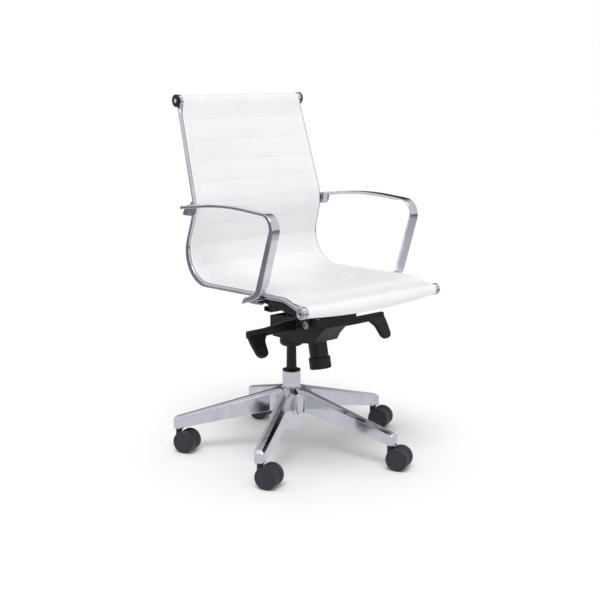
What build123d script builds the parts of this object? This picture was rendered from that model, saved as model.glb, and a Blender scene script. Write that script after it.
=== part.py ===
from build123d import *
import math
import os

# Swivel office chair with a leather sling seat, millimetres.
# +Z is up, the chair faces -Y, +X is the sitter's left, and the gas column stands on the Z axis.
# The floor is z = 0.

GAP = 0.3               # clearance between pieces that move past each other
RUNNING_FIT = 0.05      # radial clearance of a shaft that turns or slides in its bore
SCREW_RADIUS = 3.0
SCREW_HEAD_RADIUS = 5.5
SCREW_HEAD_HEIGHT = 3.5

# Star base
LEG_COUNT = 5
FIRST_LEG_ANGLE = 70.3
LEG_TIP_RADIUS = 323.0
STEM_RADIUS_FROM_AXIS = 308.0
LEG_TIP_TOP = 94.0
LEG_TIP_HEIGHT = 31.0
LEG_TIP_WIDTH = 29.0
LEG_ROOT_RADIUS = 20.0
LEG_ROOT_TOP = 178.0
LEG_ROOT_HEIGHT = 58.0
LEG_ROOT_WIDTH = 42.0
LEG_TOP_STRIP = 12.0
LEG_BEVEL_DROP = 5.0
LEG_WALL = 4.0
HUB_RADIUS = 34.0
HUB_BOTTOM = 102.0
HUB_TOP = 178.0

# Twin-wheel casters
WHEEL_RADIUS = 30.0
WHEEL_WIDTH = 19.0
WEB_WIDTH = 13.0
WHEEL_SIDE_GAP = 0.5
CASTER_TRAIL = 24.0
CASTER_HEADING = -66.2      # where every caster trails at rest, degrees from +X
CASTER_NECK_RADIUS = 9.5
CASTER_STEM_RADIUS = 5.5
CASTER_AXLE_RADIUS = 4.0

# Gas column
STAND_TUBE_RADIUS = 25.0
STAND_TUBE_FOOT_RADIUS = 20.0
STAND_TUBE_BORE = 21.5
STAND_TUBE_BOTTOM = 56.0
STAND_TUBE_TOP = 221.0
BUSH_TOP = 225.0
BUSH_BOTTOM = 165.0
PRESSURE_TUBE_RADIUS = 14.0
PRESSURE_TUBE_BORE = 11.0
PRESSURE_TUBE_BOTTOM = 75.0
PRESSURE_TUBE_TOP = 338.0
PRESSURE_TUBE_TIP_RADIUS = 12.2
TAPER_START = 234.0
PISTON_ROD_RADIUS = 5.0
PISTON_BOTTOM = 196.0
PISTON_TOP = 208.0
RELEASE_PIN_RADIUS = 3.0
RELEASE_PIN_TOP = 347.0

# Tilt mechanism
PIVOT_Y = -146.0
PIVOT_Z = 383.0
PIVOT_SHAFT_RADIUS = 7.0
PIVOT_BUSH_RADIUS = 9.0
PIVOT_BOSS_RADIUS = 14.0
HOUSING_HALF_WIDTH = 40.0
HOUSING_WALL = 3.0
FRONT_BOX_HALF_WIDTH = 70.0
FRONT_BOX_FRONT = -182.0
FRONT_BOX_BACK = -112.0
FRONT_BOX_BOTTOM = 378.0
FRONT_BOX_TOP = 400.0
SOCKET_RADIUS = 32.0
SOCKET_BOTTOM = 292.0
EAR_INNER = 72.4
EAR_THICKNESS = 4.0

# Tension knob, on an axis that leans forward at its foot
KNOB_Y = -104.0
KNOB_Z = 320.0
KNOB_LEAN = 11.5
KNOB_BARREL_RADIUS = 25.0
KNOB_GRIP_RADIUS = 29.0
KNOB_LENGTH = 72.0
KNOB_BARREL_LENGTH = 40.0
BOLT_RADIUS = 5.0
BOLT_REACH = 82.0
SPRING_RADIUS = 13.0
SPRING_WIRE_RADIUS = 2.5
SPRING_START = 36.0
SPRING_LENGTH = 72.0
NUT_HEIGHT = 28.0

# Levers
LEVER_Z = 362.0
LEVER_PIVOT_X = 38.0
LEVER_ROOT_X = 44.0
LEVER_BAR_HEIGHT = 20.0
LEVER_BAR_DEPTH = 14.0
LEVER_ROD_RADIUS = 4.5
HEIGHT_LEVER_Y = -66.0
HEIGHT_LEVER_REACH = 208.0
TILT_LEVER_Y = -122.0
TILT_LEVER_REACH = 228.0
PADDLE_WIDTH = 46.0
PADDLE_TIP_RADIUS = 17.0
PADDLE_DROP = 68.0
PADDLE_THICKNESS = 10.0
PADDLE_FORWARD_LEAN = 36.0

# Side frame, drawn in its own plane as (y, z) and leaned inwards towards the top
RAIL_TOP = (213.0, 945.0)
RAIL_LUMBAR = (129.0, 672.0)
RAIL_HEEL = (190.0, 472.0)
RAIL_KNEE = (-238.0, 482.0)
RAIL_FRONT = (-305.0, 461.0)
RAIL_PATH = [RAIL_TOP, RAIL_LUMBAR, RAIL_HEEL, RAIL_KNEE, RAIL_FRONT]
RAIL_DEPTH = 10.5
RAIL_THICKNESS = 9.0
RAIL_OUTER_X = 232.0
RAIL_LEAN = 2.56
RAIL_LEAN_Z = 470.0
LUMBAR_RADIUS = 100.0
HEEL_OUTER_RADIUS = 89.0
HEEL_INNER_RADIUS = 86.5
HEEL_SLING_RADIUS = 84.0
KNEE_RADIUS = 60.0

# Cross tubes and their end caps
TUBE_RADIUS = 11.0
FRONT_CAP_RADIUS = 15.0
TOP_CAP_RADIUS = 16.5
CAP_THICKNESS = 5.5
CAP_GAP = 0.8
CAP_SCREW_RADIUS = 5.0

# Leather sling
SLING_THICKNESS = 12.0
SLING_ROLL_RADIUS = 14.8

# Arms
ARM_INNER_X = 227.0
ARM_OUTER_X = 253.0
ARM_TOP_RADIUS = 900.0
ARM_CORNER_RADIUS = 36.0
ARM_FOOT_RADIUS = 26.0
ARM_EDGE = 2.5

# Under-seat frame
SEAT_PLATE_Z = 436.0
SEAT_PLATE_THICKNESS = 4.0
SPREADER_HEIGHT = 12.0
FRONT_SPREADER_Y = -246.0
REAR_SPREADER_Y = -160.0
SPREADER_DEPTH = 30.0
BRACKET_X = 216.0
BRACKET_THICKNESS = 4.0

# Back brace
BRACE_Z = 668.0
BRACE_HEIGHT = 34.0
BRACE_THICKNESS = 6.0
BRACE_BOW = 26.0


# ---------------------------------------------------------------- helpers

def upright(radius, bottom, top, x=0.0, y=0.0):
    """A vertical cylinder between two heights."""
    return Pos(x, y, (bottom + top) / 2) * Cylinder(radius, top - bottom)


def block(x_range, y_range, z_range):
    """A box between given limits on each axis."""
    size = [high - low for low, high in (x_range, y_range, z_range)]
    middle = [(high + low) / 2 for low, high in (x_range, y_range, z_range)]
    return Pos(*middle) * Box(*size)


def along_x(radius, x_range, y, z):
    """A round bar lying along X."""
    low, high = x_range
    return Pos((low + high) / 2, y, z) * Rot(0, 90, 0) * Cylinder(radius, high - low)


def side_slab(sketch, x_range):
    """A (y, z) sketch extruded across X."""
    low, high = x_range
    return extrude(Plane.YZ.offset(low) * sketch, amount=high - low)


def offset_path(points, distance):
    """The open path moved sideways: positive goes to the right of its direction."""
    directions = []
    for (y0, z0), (y1, z1) in zip(points, points[1:]):
        length = math.hypot(y1 - y0, z1 - z0)
        directions.append(((y1 - y0) / length, (z1 - z0) / length))
    moved = []
    for index, (y, z) in enumerate(points):
        before = directions[max(index - 1, 0)]
        after = directions[min(index, len(directions) - 1)]
        normal = (before[1] + after[1], -before[0] - after[0])
        scale = distance / (0.5 * (normal[0] ** 2 + normal[1] ** 2))
        moved.append((y + normal[0] * scale, z + normal[1] * scale))
    return moved


def band(points, left, right, left_radii, right_radii):
    """A closed strip along a path, with its own corner radii on each side."""
    left_edge = FilletPolyline(*offset_path(points, -left), radius=left_radii)
    right_edge = FilletPolyline(*offset_path(points, right), radius=right_radii)
    ends = [Line(left_edge @ 0, right_edge @ 0), Line(left_edge @ 1, right_edge @ 1)]
    return make_face(Curve() + [left_edge, right_edge] + ends)


def lean_in(solid, side):
    """Leans a side frame piece inwards about the seat's height."""
    hinge = Pos(side * RAIL_OUTER_X, 0, RAIL_LEAN_Z)
    return hinge * Rot(0, -side * RAIL_LEAN, 0) * hinge.inverse() * solid


def mirrored(side, x_range):
    """An X range written for the sitter's left, turned to the given side."""
    low, high = x_range
    return (low, high) if side > 0 else (-high, -low)


def rail_outer_x(z):
    """How far out a rail's outer face stands at a height."""
    return RAIL_OUTER_X - (z - RAIL_LEAN_Z) * math.tan(math.radians(RAIL_LEAN))


def screw(length):
    """A socket-head screw pointing along -Z, with its head above z = 0."""
    head = upright(SCREW_HEAD_RADIUS, 0, SCREW_HEAD_HEIGHT)
    socket = extrude(Plane.XY.offset(SCREW_HEAD_HEIGHT) * RegularPolygon(2.5, 6), amount=-2)
    return head - socket + upright(SCREW_RADIUS, -length, 0)


# ---------------------------------------------------------------- star base

def leg_section(radius, top, height, width):
    """A leg's section: narrow top strip, two bevels and upright sides, across the leg."""
    half = width / 2
    strip = LEG_TOP_STRIP / 2
    corners = [
        (-strip, top),
        (strip, top),
        (half, top - LEG_BEVEL_DROP),
        (half, top - height),
        (-half, top - height),
        (-half, top - LEG_BEVEL_DROP),
    ]
    return Plane.YZ.offset(radius) * make_face(Polyline(*corners, close=True))


def leg_channel():
    """The open channel under a leg."""
    near = HUB_RADIUS - 6
    far = STEM_RADIUS_FROM_AXIS - 20
    sections = []
    for radius in (near, far):
        share = (radius - LEG_ROOT_RADIUS) / (LEG_TIP_RADIUS - LEG_ROOT_RADIUS)
        top = LEG_ROOT_TOP + (LEG_TIP_TOP - LEG_ROOT_TOP) * share - LEG_BEVEL_DROP - LEG_WALL
        half = (LEG_ROOT_WIDTH + (LEG_TIP_WIDTH - LEG_ROOT_WIDTH) * share) / 2 - LEG_WALL
        corners = [(-half, top), (half, top), (half, 0), (-half, 0)]
        sections.append(Plane.YZ.offset(radius) * make_face(Polyline(*corners, close=True)))
    return loft(sections)


def leg():
    """One leg of the star, along +X, with the rounded end that holds a caster."""
    beam = loft([
        leg_section(LEG_ROOT_RADIUS, LEG_ROOT_TOP, LEG_ROOT_HEIGHT, LEG_ROOT_WIDTH),
        leg_section(LEG_TIP_RADIUS, LEG_TIP_TOP, LEG_TIP_HEIGHT, LEG_TIP_WIDTH),
    ])
    end_corners = [
        edge for edge in beam.edges().filter_by(Axis.Z)
        if edge.center().X > LEG_TIP_RADIUS - 1
    ]
    beam = fillet(end_corners, 9)
    tip_floor = LEG_TIP_TOP - LEG_TIP_HEIGHT
    beam -= leg_channel()
    beam += upright(12, tip_floor, LEG_TIP_TOP - 10, STEM_RADIUS_FROM_AXIS)
    bore = upright(CASTER_STEM_RADIUS + RUNNING_FIT, 0, tip_floor + 23, STEM_RADIUS_FROM_AXIS)
    return beam - bore


def star_base():
    """The die-cast base: a hub with five hollow legs."""
    base = upright(HUB_RADIUS, HUB_BOTTOM, HUB_TOP)
    for index in range(LEG_COUNT):
        base += Rot(0, 0, FIRST_LEG_ANGLE + index * 360 / LEG_COUNT) * leg()
    base -= upright(STAND_TUBE_RADIUS, HUB_BOTTOM - 60, HUB_TOP + 10)
    return base


# ---------------------------------------------------------------- casters

def place_caster(index, piece):
    """Puts a piece drawn at the origin, trailing along +X, under a leg's end."""
    angle = math.radians(FIRST_LEG_ANGLE + index * 360 / LEG_COUNT)
    x = STEM_RADIUS_FROM_AXIS * math.cos(angle)
    y = STEM_RADIUS_FROM_AXIS * math.sin(angle)
    return Pos(x, y, 0) * Rot(0, 0, CASTER_HEADING) * piece


def wheel_disc(radius, width, offset=0.0):
    """A disc on the caster's axle line."""
    return Pos(CASTER_TRAIL, offset, WHEEL_RADIUS) * Rot(90, 0, 0) * Cylinder(radius, width)


def caster_body():
    """The web between the wheels with the neck that carries the stem."""
    neck_bottom = 40.0
    neck_top = LEG_TIP_TOP - LEG_TIP_HEIGHT - 0.6
    neck = upright(CASTER_NECK_RADIUS, neck_bottom, neck_top)
    neck -= wheel_disc(WHEEL_RADIUS + 1.2, 4 * CASTER_NECK_RADIUS)
    web = wheel_disc(WHEEL_RADIUS - 2, WEB_WIDTH)
    web += block((0, CASTER_TRAIL), (-WEB_WIDTH / 2, WEB_WIDTH / 2), (WHEEL_RADIUS, 52))
    web += upright(WEB_WIDTH / 2, WHEEL_RADIUS, neck_top - 6)
    body = neck + web
    body -= upright(CASTER_STEM_RADIUS, 42, 90)
    return body - wheel_disc(CASTER_AXLE_RADIUS, 3 * WEB_WIDTH)


def caster_pins():
    """The steel stem with its collar, and the axle across the web: two solids."""
    stem = upright(CASTER_STEM_RADIUS, 42, LEG_TIP_TOP - 10)
    stem = chamfer(stem.edges().filter_by(GeomType.CIRCLE).group_by(Axis.Z)[-1], 1.2)
    axle = wheel_disc(CASTER_AXLE_RADIUS, WEB_WIDTH + 2 * WHEEL_WIDTH - 6)
    return Compound(children=[stem, axle])


def caster_wheel(side):
    """One wheel: a rounded tread, a dished outer face and a hub bored for the axle."""
    middle = side * (WEB_WIDTH / 2 + WHEEL_SIDE_GAP + WHEEL_WIDTH / 2)
    wheel = Cylinder(WHEEL_RADIUS, WHEEL_WIDTH)
    wheel = fillet(wheel.edges().filter_by(GeomType.CIRCLE), 2.5)
    dish = Pos(0, 0, WHEEL_WIDTH / 2 - 0.6) * Cylinder(WHEEL_RADIUS - 5, 3)
    wheel -= dish
    wheel += Pos(0, 0, WHEEL_WIDTH / 2 - 1.4) * Cylinder(7, 1.8)
    groove = Cylinder(WHEEL_RADIUS - 4, 12) - Cylinder(9, 12)
    wheel -= Pos(0, 0, -WHEEL_WIDTH / 2) * groove
    bore_depth = WHEEL_WIDTH - 2.5
    bore = Cylinder(CASTER_AXLE_RADIUS + RUNNING_FIT, bore_depth)
    wheel -= Pos(0, 0, (bore_depth - WHEEL_WIDTH) / 2) * bore
    return Pos(CASTER_TRAIL, middle, WHEEL_RADIUS) * Rot(-side * 90, 0, 0) * wheel


# ---------------------------------------------------------------- gas column

def stand_tube():
    """The outer tube, wedged in the hub, with a closed foot for the piston rod."""
    upper = upright(STAND_TUBE_RADIUS, HUB_BOTTOM, STAND_TUBE_TOP)
    foot = Pos(0, 0, (STAND_TUBE_BOTTOM + HUB_BOTTOM) / 2) * Cone(
        STAND_TUBE_FOOT_RADIUS, STAND_TUBE_RADIUS, HUB_BOTTOM - STAND_TUBE_BOTTOM)
    tube = upper + foot
    foot_rim = tube.edges().filter_by(GeomType.CIRCLE).group_by(Axis.Z)[0]
    tube = fillet(foot_rim, 3)
    cavity_radius = STAND_TUBE_FOOT_RADIUS - 3
    tube -= upright(cavity_radius, STAND_TUBE_BOTTOM + 4, HUB_BOTTOM + 5)
    tube -= upright(STAND_TUBE_BORE, HUB_BOTTOM, STAND_TUBE_TOP + 1)
    return tube - upright(PISTON_ROD_RADIUS + GAP, 0, HUB_BOTTOM)


def guide_bush():
    """The plastic sleeve that guides the sliding tube, with its collar on top."""
    sleeve = upright(STAND_TUBE_BORE, BUSH_BOTTOM, STAND_TUBE_TOP)
    collar = upright(STAND_TUBE_RADIUS, STAND_TUBE_TOP, BUSH_TOP)
    collar = chamfer(collar.edges().filter_by(GeomType.CIRCLE).group_by(Axis.Z)[-1], 1.5)
    return sleeve + collar - upright(PRESSURE_TUBE_RADIUS + RUNNING_FIT, 100, 300)


def thrust_bearing():
    """Two washers with a ring of balls between them, under the rod's shoulder."""
    floor = STAND_TUBE_BOTTOM + 4
    ring = upright(13, floor, floor + 1.8) + upright(13, floor + 4.2, floor + 6)
    ring -= upright(PISTON_ROD_RADIUS + GAP, floor - 1, floor + 10)
    balls = [
        Rot(0, 0, index * 36) * Pos(9.5, 0, floor + 3) * Sphere(1.4)
        for index in range(10)
    ]
    return ring + balls


def retaining_clip():
    """The spring clip that holds the rod's end under the stand tube."""
    top = STAND_TUBE_BOTTOM - GAP
    clip = upright(9, top - 1.6, top) - upright(PISTON_ROD_RADIUS - 1 + GAP, top - 3, top + 1)
    return clip - block((0, 12), (-2.5, 2.5), (top - 3, top + 1))


def piston_rod():
    """The rod that stands on the bearing, with the piston on its upper end."""
    bearing_top = STAND_TUBE_BOTTOM + 10
    rod = upright(PISTON_ROD_RADIUS, STAND_TUBE_BOTTOM - 6, PISTON_BOTTOM)
    rod += upright(8, bearing_top + GAP / 2, bearing_top + 4)
    rod += upright(PRESSURE_TUBE_BORE - RUNNING_FIT, PISTON_BOTTOM, PISTON_TOP)
    groove_top = STAND_TUBE_BOTTOM - GAP / 2
    groove = upright(PISTON_ROD_RADIUS + 1, groove_top - 2, groove_top)
    groove -= upright(PISTON_ROD_RADIUS - 1, groove_top - 2, groove_top)
    return rod - groove


def pressure_tube():
    """The sliding tube, closed below round the rod and tapered above for the socket."""
    tube = upright(PRESSURE_TUBE_RADIUS, PRESSURE_TUBE_BOTTOM, TAPER_START)
    taper_length = PRESSURE_TUBE_TOP - TAPER_START
    tube += Pos(0, 0, TAPER_START + taper_length / 2) * Cone(
        PRESSURE_TUBE_RADIUS, PRESSURE_TUBE_TIP_RADIUS, taper_length)
    tube -= upright(PRESSURE_TUBE_BORE, PRESSURE_TUBE_BOTTOM + 8, 300)
    tube -= upright(PISTON_ROD_RADIUS + RUNNING_FIT, 0, 200)
    return tube - upright(RELEASE_PIN_RADIUS + RUNNING_FIT, 310, 400)


def release_pin():
    """The button on top of the column that lets the height change."""
    pin = upright(RELEASE_PIN_RADIUS, 316, RELEASE_PIN_TOP)
    return chamfer(pin.edges().filter_by(GeomType.CIRCLE).group_by(Axis.Z)[-1], 0.6)


# ---------------------------------------------------------------- tilt mechanism

def on_knob_axis(piece):
    """Puts a piece drawn along +Z from the origin on the knob's leaning axis."""
    return Pos(0, KNOB_Y, KNOB_Z) * Rot(-KNOB_LEAN, 0, 0) * piece


def mech_housing():
    """The pressed pan of the mechanism: column socket, knob seat and front box."""
    half = HOUSING_HALF_WIDTH
    wall = HOUSING_WALL
    outline = [
        (42, 374), (FRONT_BOX_FRONT + 6, FRONT_BOX_TOP - 2), (FRONT_BOX_FRONT + 6, 372),
        (-150, 346), (-138, 327), (-70, 314), (-30, 318), (30, 318), (42, 330),
    ]
    cavity_outline = [
        (42 - wall, 420), (FRONT_BOX_FRONT + 6 + wall, 420), (FRONT_BOX_FRONT + 6 + wall, 374),
        (-148, 349), (-136, 331), (-70, 318), (-30, 321), (29, 321), (42 - wall, 331),
    ]
    pan = side_slab(make_face(Polyline(*outline, close=True)), (-half, half))
    pan = fillet(pan.edges().filter_by(Axis.X).group_by(Axis.Z)[0], 8)
    box_y = (FRONT_BOX_FRONT, FRONT_BOX_BACK)
    front_box = block((-FRONT_BOX_HALF_WIDTH, FRONT_BOX_HALF_WIDTH), box_y,
                      (FRONT_BOX_BOTTOM, FRONT_BOX_TOP))
    front_box = fillet(front_box.edges().filter_by(Axis.Z), 4)
    bowl = upright(SOCKET_RADIUS, SOCKET_BOTTOM, 330)
    bowl = fillet(bowl.edges().filter_by(GeomType.CIRCLE).group_by(Axis.Z)[0], 10)
    seat = on_knob_axis(Box(68, 62, 12, align=(Align.CENTER, Align.CENTER, Align.MIN)))
    seat = fillet(seat.edges().filter_by(lambda e: abs(e.tangent_at(0).Z) > 0.9), 8)
    housing = pan + front_box + bowl + seat
    cavity = side_slab(make_face(Polyline(*cavity_outline, close=True)),
                       (-half + wall, half - wall))
    box_cavity = block((-FRONT_BOX_HALF_WIDTH + wall, FRONT_BOX_HALF_WIDTH - wall),
                       (FRONT_BOX_FRONT + wall, FRONT_BOX_BACK - wall),
                       (FRONT_BOX_BOTTOM + wall, 420))
    housing = housing - cavity - box_cavity
    housing += upright(19, SOCKET_BOTTOM, PRESSURE_TUBE_TOP)
    housing -= along_x(PIVOT_SHAFT_RADIUS, (-100, 100), PIVOT_Y, PIVOT_Z)
    bore_bottom = SOCKET_BOTTOM - 2
    share = (bore_bottom - TAPER_START) / (PRESSURE_TUBE_TOP - TAPER_START)
    bore_radius = PRESSURE_TUBE_RADIUS + share * (PRESSURE_TUBE_TIP_RADIUS - PRESSURE_TUBE_RADIUS)
    housing -= Pos(0, 0, (bore_bottom + PRESSURE_TUBE_TOP) / 2) * Cone(
        bore_radius, PRESSURE_TUBE_TIP_RADIUS, PRESSURE_TUBE_TOP - bore_bottom)
    housing -= on_knob_axis(Cylinder(BOLT_RADIUS + RUNNING_FIT, 80))
    housing -= along_x(LEVER_ROD_RADIUS + 1.2, (-half - 5, -half + 10), HEIGHT_LEVER_Y, LEVER_Z)
    return housing - along_x(LEVER_ROD_RADIUS + 1.2, (half - 10, half + 5),
                             TILT_LEVER_Y, LEVER_Z)


def tilt_shaft():
    """The shaft that the seat tilts on."""
    half = EAR_INNER + EAR_THICKNESS + 5
    shaft = along_x(PIVOT_SHAFT_RADIUS, (-half, half), PIVOT_Y, PIVOT_Z)
    return chamfer(shaft.edges().filter_by(GeomType.CIRCLE), 1)


def tilt_shaft_clips():
    """A push-on clip on each end of the shaft."""
    clips = []
    for side in (-1, 1):
        x_range = mirrored(side, (EAR_INNER + EAR_THICKNESS + 1.4, EAR_INNER + EAR_THICKNESS + 3.4))
        clip = along_x(PIVOT_SHAFT_RADIUS + 3.5, x_range, PIVOT_Y, PIVOT_Z)
        clips.append(clip - along_x(PIVOT_SHAFT_RADIUS, (-100, 100), PIVOT_Y, PIVOT_Z))
    return Compound(children=clips)


def tension_spring():
    """The space of the coil spring that the seat leans back against, as a plain sleeve."""
    sleeve = Cylinder(SPRING_RADIUS + SPRING_WIRE_RADIUS, SPRING_LENGTH)
    sleeve -= Cylinder(SPRING_RADIUS - SPRING_WIRE_RADIUS, SPRING_LENGTH)
    return on_knob_axis(Pos(0, 0, SPRING_START + SPRING_LENGTH / 2) * sleeve)


def tension_bolt():
    """The long bolt that the knob turns."""
    return on_knob_axis(Pos(0, 0, (BOLT_REACH - 50) / 2) * Cylinder(BOLT_RADIUS, BOLT_REACH + 50))


def tension_knob():
    """The knob: a smooth barrel over a wider ribbed grip."""
    grip_length = KNOB_LENGTH - KNOB_BARREL_LENGTH
    barrel = Pos(0, 0, -GAP - KNOB_BARREL_LENGTH / 2) * Cylinder(
        KNOB_BARREL_RADIUS, KNOB_BARREL_LENGTH)
    grip = Pos(0, 0, -GAP - KNOB_BARREL_LENGTH - grip_length / 2) * Cylinder(
        KNOB_GRIP_RADIUS, grip_length)
    grip = chamfer(grip.edges().filter_by(GeomType.CIRCLE), 2)
    for index in range(16):
        rib = Pos(KNOB_GRIP_RADIUS + 1.2, 0, -KNOB_BARREL_LENGTH - grip_length / 2)
        grip -= Rot(0, 0, index * 22.5) * rib * Cylinder(2.2, grip_length + 4)
    knob = barrel + grip
    return on_knob_axis(knob - Pos(0, 0, -GAP - 25 + 0.5) * Cylinder(BOLT_RADIUS, 51))


def tension_nut():
    """The nut plate that the bolt draws up under the spring."""
    plate = Box(34, 28, 8) - Cylinder(BOLT_RADIUS + RUNNING_FIT, 20)
    return on_knob_axis(Pos(0, 0, NUT_HEIGHT) * plate)


# ---------------------------------------------------------------- levers

def lever_handle(side, y, reach):
    """A moulded handle: a flat bar with a paddle that hangs down and forward at its end."""
    x_range = mirrored(side, (LEVER_ROOT_X, reach))
    y_range = (y - LEVER_BAR_DEPTH / 2, y + LEVER_BAR_DEPTH / 2)
    z_range = (LEVER_Z - LEVER_BAR_HEIGHT / 2, LEVER_Z + LEVER_BAR_HEIGHT / 2)
    bar = block(x_range, y_range, z_range)
    bar = fillet(bar.edges().filter_by(Axis.X), 4)
    half = PADDLE_WIDTH / 2
    tip = PADDLE_DROP - PADDLE_TIP_RADIUS
    shape = Polyline((-half, 8), (half, 8), (PADDLE_TIP_RADIUS, -tip), (-PADDLE_TIP_RADIUS, -tip),
                     close=True)
    lobe = make_face(shape) + Pos(0, -tip) * Circle(PADDLE_TIP_RADIUS)
    paddle = extrude(Plane.XZ * lobe, amount=PADDLE_THICKNESS / 2, both=True)
    middle = side * (reach - half)
    paddle = Pos(middle, y, LEVER_Z) * Rot(-PADDLE_FORWARD_LEAN, 0, 0) * paddle
    handle = bar + paddle
    bore = mirrored(side, (LEVER_ROOT_X - 1, LEVER_ROOT_X + 70))
    return handle - along_x(LEVER_ROD_RADIUS, bore, y, LEVER_Z)


def height_lever_rod():
    """The height lever's rod, with the arm that presses the column's release pin."""
    rod = along_x(LEVER_ROD_RADIUS, (-LEVER_ROOT_X - 70, 6), HEIGHT_LEVER_Y, LEVER_Z)
    arm_bottom = RELEASE_PIN_TOP + 0.8
    arm = block((-8, 8), (HEIGHT_LEVER_Y - 4, 7), (arm_bottom, arm_bottom + 4))
    riser = block((-8, 8), (HEIGHT_LEVER_Y - 4, HEIGHT_LEVER_Y + 4), (arm_bottom, LEVER_Z + 4))
    return rod + arm + riser


def tilt_lever_rod():
    """The tilt lever's rod, with the pawl that locks the tilt."""
    rod = along_x(LEVER_ROD_RADIUS, (20, LEVER_ROOT_X + 70), TILT_LEVER_Y, LEVER_Z)
    pawl = block((20, 28), (TILT_LEVER_Y - 5, TILT_LEVER_Y + 5), (LEVER_Z - 8, LEVER_Z + 12))
    return rod + pawl


# ---------------------------------------------------------------- under-seat frame

def seat_plate():
    """The plate on top of the mechanism, with the two ears that hang on the tilt shaft."""
    top = SEAT_PLATE_Z + SEAT_PLATE_THICKNESS
    ear_outer = EAR_INNER + EAR_THICKNESS
    plate = block((-ear_outer, ear_outer), (-262, -112), (SEAT_PLATE_Z, top))
    plate += block((-60, 60), (-112, -30), (SEAT_PLATE_Z, top))
    plate = fillet(plate.edges().filter_by(Axis.Z), 6)
    for side in (-1, 1):
        x_range = mirrored(side, (EAR_INNER, ear_outer))
        plate += block(x_range, (PIVOT_Y - 13, PIVOT_Y + 13), (PIVOT_Z, SEAT_PLATE_Z))
        plate += along_x(PIVOT_BOSS_RADIUS, x_range, PIVOT_Y, PIVOT_Z)
        skirt = mirrored(side, (56, 60))
        plate += block(skirt, (-112, -36), (SEAT_PLATE_Z - 14, SEAT_PLATE_Z))
    spring_top_y = KNOB_Y + math.sin(math.radians(KNOB_LEAN)) * (SPRING_START + SPRING_LENGTH)
    plate += upright(SPRING_RADIUS - SPRING_WIRE_RADIUS - 2, SEAT_PLATE_Z - 6, SEAT_PLATE_Z,
                     0, spring_top_y)
    plate -= along_x(PIVOT_BUSH_RADIUS, (-100, 100), PIVOT_Y, PIVOT_Z)
    return plate - spreader_bolts()


def tilt_bushes():
    """A plain bush in each ear."""
    bushes = []
    for side in (-1, 1):
        x_range = mirrored(side, (EAR_INNER, EAR_INNER + EAR_THICKNESS + 1))
        bush = along_x(PIVOT_BUSH_RADIUS, x_range, PIVOT_Y, PIVOT_Z)
        bore = along_x(PIVOT_SHAFT_RADIUS + RUNNING_FIT, (-100, 100), PIVOT_Y, PIVOT_Z)
        bushes.append(bush - bore)
    return Compound(children=bushes)


def spreader(y):
    """A box-section bar across the chair, on top of the seat plate."""
    bottom = SEAT_PLATE_Z + SEAT_PLATE_THICKNESS
    y_range = (y - SPREADER_DEPTH / 2, y + SPREADER_DEPTH / 2)
    bar = block((-BRACKET_X, BRACKET_X), y_range, (bottom, bottom + SPREADER_HEIGHT))
    bar = fillet(bar.edges().filter_by(Axis.X), 3)
    core = block((-BRACKET_X - 1, BRACKET_X + 1), (y_range[0] + 2.5, y_range[1] - 2.5),
                 (bottom + 2.5, bottom + SPREADER_HEIGHT - 2.5))
    return bar - core - spreader_bolts()


def spreader_bolts():
    """Four bolts up through the seat plate into the spreaders."""
    bolts = []
    for x in (-48, 48):
        for y in (FRONT_SPREADER_Y, REAR_SPREADER_Y):
            bolts.append(Pos(x, y, SEAT_PLATE_Z) * Rot(180, 0, 0) * screw(SPREADER_HEIGHT - 2))
    return Compound(children=bolts)


def side_bracket(side):
    """The black flange under a rail, with its lug, that the spreaders are welded to."""
    outline = [
        (-132, 472), (-150, 462), (-166, 458), (-170, 447), (-178, 443.5), (-186, 447),
        (-190, 455), (-262, 446), (-277, 450), (-277, 458), (-240, 472), (-200, 472.5),
    ]
    plate = make_face(Polyline(*outline, close=True)) - Pos(-178, 454) * Circle(3.2)
    flange = side_slab(plate, mirrored(side, (BRACKET_X, BRACKET_X + BRACKET_THICKNESS)))
    pad = block(mirrored(side, (BRACKET_X + BRACKET_THICKNESS, RAIL_OUTER_X - 2)),
                (-238, -178), (466, 473.4))
    return flange + pad


# ---------------------------------------------------------------- side frame

def rail(side):
    """A cast side rail: straight back, round heel, flat seat and an eye at each end."""
    half = RAIL_DEPTH / 2
    front_radii = [LUMBAR_RADIUS + half, HEEL_INNER_RADIUS, KNEE_RADIUS + half]
    rear_radii = [LUMBAR_RADIUS - half, HEEL_OUTER_RADIUS, KNEE_RADIUS - half]
    face = band(RAIL_PATH, half, half, rear_radii, front_radii)
    inner = RAIL_OUTER_X - RAIL_THICKNESS
    body = side_slab(face, (inner, RAIL_OUTER_X))
    body = chamfer(body.edges().filter_by(lambda e: e.length > 40), 1.6)
    for (y, z), radius in ((RAIL_TOP, TOP_CAP_RADIUS - 0.5), (RAIL_FRONT, FRONT_CAP_RADIUS)):
        body += along_x(radius, (inner, RAIL_OUTER_X), y, z)
    if side < 0:
        body = mirror(body, about=Plane.YZ)
    body = lean_in(body, side)
    for y, z in (RAIL_TOP, RAIL_FRONT):
        body -= along_x(TUBE_RADIUS, (-RAIL_OUTER_X - 20, RAIL_OUTER_X + 20), y, z)
    return body - frame_screws(side)


def cross_tube(place):
    """A steel tube between the rails' eyes."""
    y, z = place
    half = rail_outer_x(z) - 0.5
    tube = along_x(TUBE_RADIUS, (-half, half), y, z)
    return tube - along_x(TUBE_RADIUS - 2, (-half - 1, half + 1), y, z)


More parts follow.
